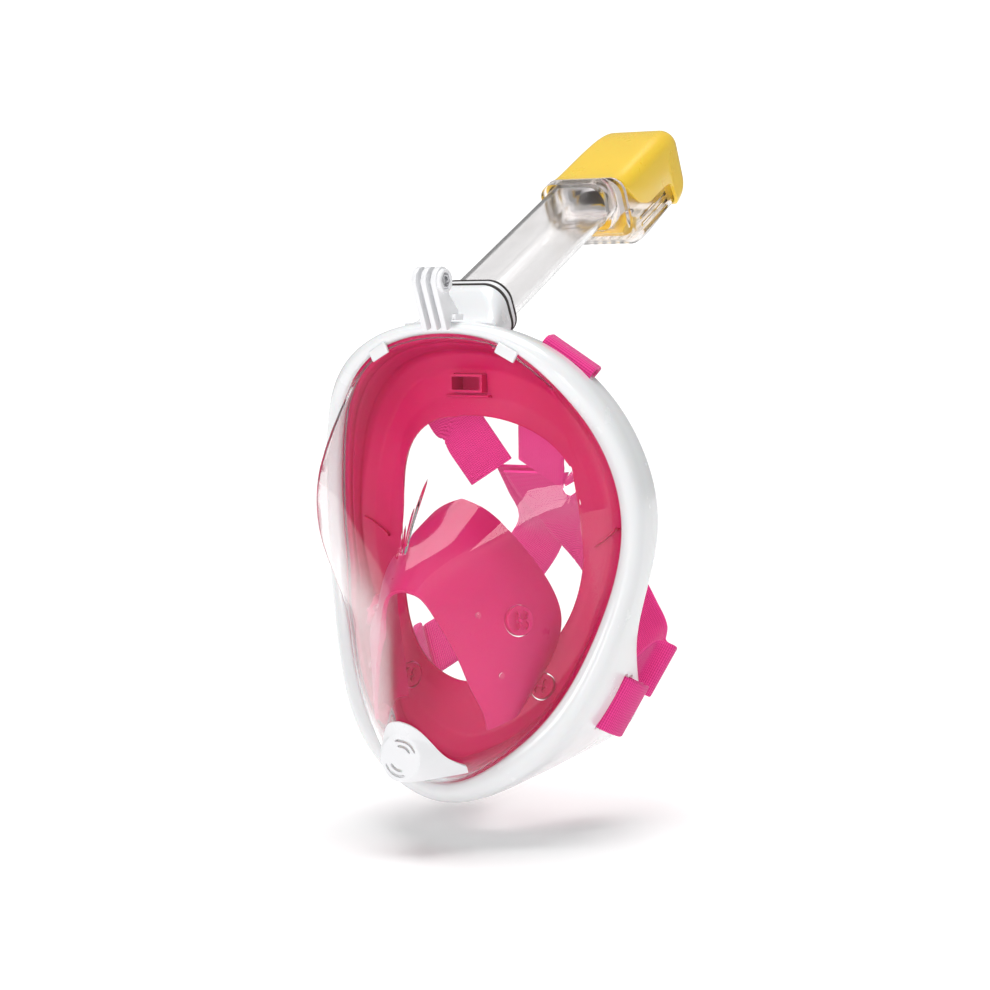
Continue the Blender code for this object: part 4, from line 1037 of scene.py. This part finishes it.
def ribbon(name, path, across, body, node):
    """A flat woven band along the path; across gives the direction of its width at each point."""
    ahead = unit(np.gradient(path, axis=0))
    across = unit(across)
    up = unit(np.cross(ahead, across))
    half, thick = STRAP_WIDTH / 2, STRAP_THICK / 2
    xs = np.concatenate([[-1, -0.985], np.linspace(-0.95, 0.95, 15), [0.985, 1]])
    section = [(x, -thick * min(1, 0.25 + 18 * (1 - abs(x)))) for x in xs]
    section += [(x, -y) for x, y in section[::-1]]
    travelled = np.concatenate([[0], np.cumsum(np.linalg.norm(np.diff(path, axis=0), axis=1))])
    rows = [[p + a * half * x + u * y for x, y in section] for p, a, u in zip(path, across, up)]
    made = lofted(name, rows, STRAP, None, 70)
    place = [(half * x, along, 0) for along in travelled for x, _ in section]
    layer = made.data.attributes.new("band_place", "FLOAT_VECTOR", "POINT")
    layer.data.foreach_set("vector", np.array(place, np.float32).ravel())
    shown(made, body, node)
    return travelled[-1]


def make_straps():
    lengths = {}
    for side, name in ((1, "left"), (-1, "right")):
        for place in ("upper", "lower"):
            knots, widths = strap_way(place, side)
            strap = f"strap_{place}_{name}"
            length = ribbon(f"{strap}_band", through(knots, 10), through(widths, 10), "mask", strap)
            lengths[f"{strap}_band"] = round(float(length), 1)
    print("strap lengths in mm:", lengths)


# ---------------------------------------------------------------- solids kept from the frame
def keep_solids():
    finishes = {"air_duct": PINK, "intake_valve_seat": VENT_WHITE, "float_body": YELLOW,
                "float_seal": BLACK, "float_hinge_pin": STEEL}
    for name, finish in finishes.items():
        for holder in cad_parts[name].material_slots:
            holder.material = finish


# ---------------------------------------------------------------- room, light and camera
def light(name, kind, place, target, energy, **values):
    data = bpy.data.lights.new(name, kind)
    data.energy = energy
    for key, value in values.items():
        setattr(data, key, value)
    lamp = linked(name, data)
    lamp.location = place
    lamp.rotation_euler = (Vector(target) - Vector(place)).to_track_quat("-Z", "Y").to_euler()


VIEW_AZIMUTH, VIEW_ELEVATION = math.radians(30), math.radians(4)
VIEW_DISTANCE = 1.2
VIEW_TARGET = Vector((0.0229, 0.0160 - 0.038, 0.0339))
FOCAL_LENGTH = 81.6
FLOOR = -0.1555
FLOOR_HALF = 60
SUN_POWER, SUN_SPREAD = 2.6, math.radians(50)
# The sky's strength as seen directly or through clear plastic, and after a diffuse or a glossy bounce.
SKY_SEEN, SKY_DIFFUSE, SKY_GLOSSY = 1.2, 0.26, 0.34
# Name, azimuth, elevation, distance, width, height, power.
SOFTBOXES = (("softbox_front", -3, 17.5, 1.5, 1.0, 0.26, 5.4), ("softbox_camera", 34, 6, 1.7, 0.3, 0.5, 3.2))


def towards(azimuth, elevation):
    """The direction from the mask at this azimuth and elevation; 0, 0 is straight in front."""
    return Vector((math.sin(azimuth) * math.cos(elevation), -math.cos(azimuth) * math.cos(elevation),
                   math.sin(elevation)))


def make_camera():
    back = towards(VIEW_AZIMUTH, VIEW_ELEVATION)
    data = bpy.data.cameras.new("camera")
    data.sensor_width = 36
    data.lens = FOCAL_LENGTH
    camera = linked("camera", data)
    camera.location = VIEW_TARGET + back * VIEW_DISTANCE
    camera.rotation_euler = back.to_track_quat("Z", "Y").to_euler()
    bpy.context.scene.camera = camera


def make_floor():
    mesh = bpy.data.meshes.new("floor")
    corners = [(x * FLOOR_HALF, y * FLOOR_HALF, FLOOR) for x, y in ((-1, -1), (1, -1), (1, 1), (-1, 1))]
    mesh.from_pydata(corners, [], [(0, 1, 2, 3)])
    pale = Nodes("pale_floor", Base_Color=(0.92, 0.92, 0.92), Roughness=0.9, Specular_IOR_Level=0.1,
                 Emission_Color=(1.0, 1.0, 1.0), Emission_Strength=0.14)
    mesh.materials.append(pale.material)
    linked("floor", mesh)


def make_sky():
    world = bpy.data.worlds.new("studio")
    world.use_nodes = True
    bpy.context.scene.world = world
    tree = world.node_tree
    shader = tree.nodes["Background"]
    shader.inputs["Color"].default_value = (1, 1, 1, 1)
    path = tree.nodes.new("ShaderNodeLightPath")
    strength = SKY_SEEN
    for ray, value in (("Diffuse Depth", SKY_DIFFUSE), ("Glossy Depth", SKY_GLOSSY)):
        level = tree.nodes.new("ShaderNodeMapRange")
        level.inputs["To Max"].default_value = value
        if isinstance(strength, float):
            level.inputs["To Min"].default_value = strength
        else:
            tree.links.new(strength, level.inputs["To Min"])
        tree.links.new(path.outputs[ray], level.inputs["Value"])
        strength = level.outputs["Result"]
    tree.links.new(strength, shader.inputs["Strength"])


def make_lights():
    light("overhead", "SUN", (0, 0, 2), (0.0, 0.03, 0), SUN_POWER, angle=SUN_SPREAD)
    for name, azimuth, elevation, distance, width, height, energy in SOFTBOXES:
        place = distance * towards(math.radians(azimuth), math.radians(elevation))
        light(name, "AREA", place, (0, -0.04, 0), energy, shape="RECTANGLE", size=width, size_y=height,
              use_shadow=False)
    scene = bpy.context.scene
    scene.view_settings.view_transform = "Standard"
    scene.view_settings.look = "None"


make_camera()
make_floor()
make_sky()
make_lights()
make_frame()
make_lens()
make_purge()
make_skirt()
make_hood()
make_mount()
make_tube()
make_head()
make_straps()
keep_solids()
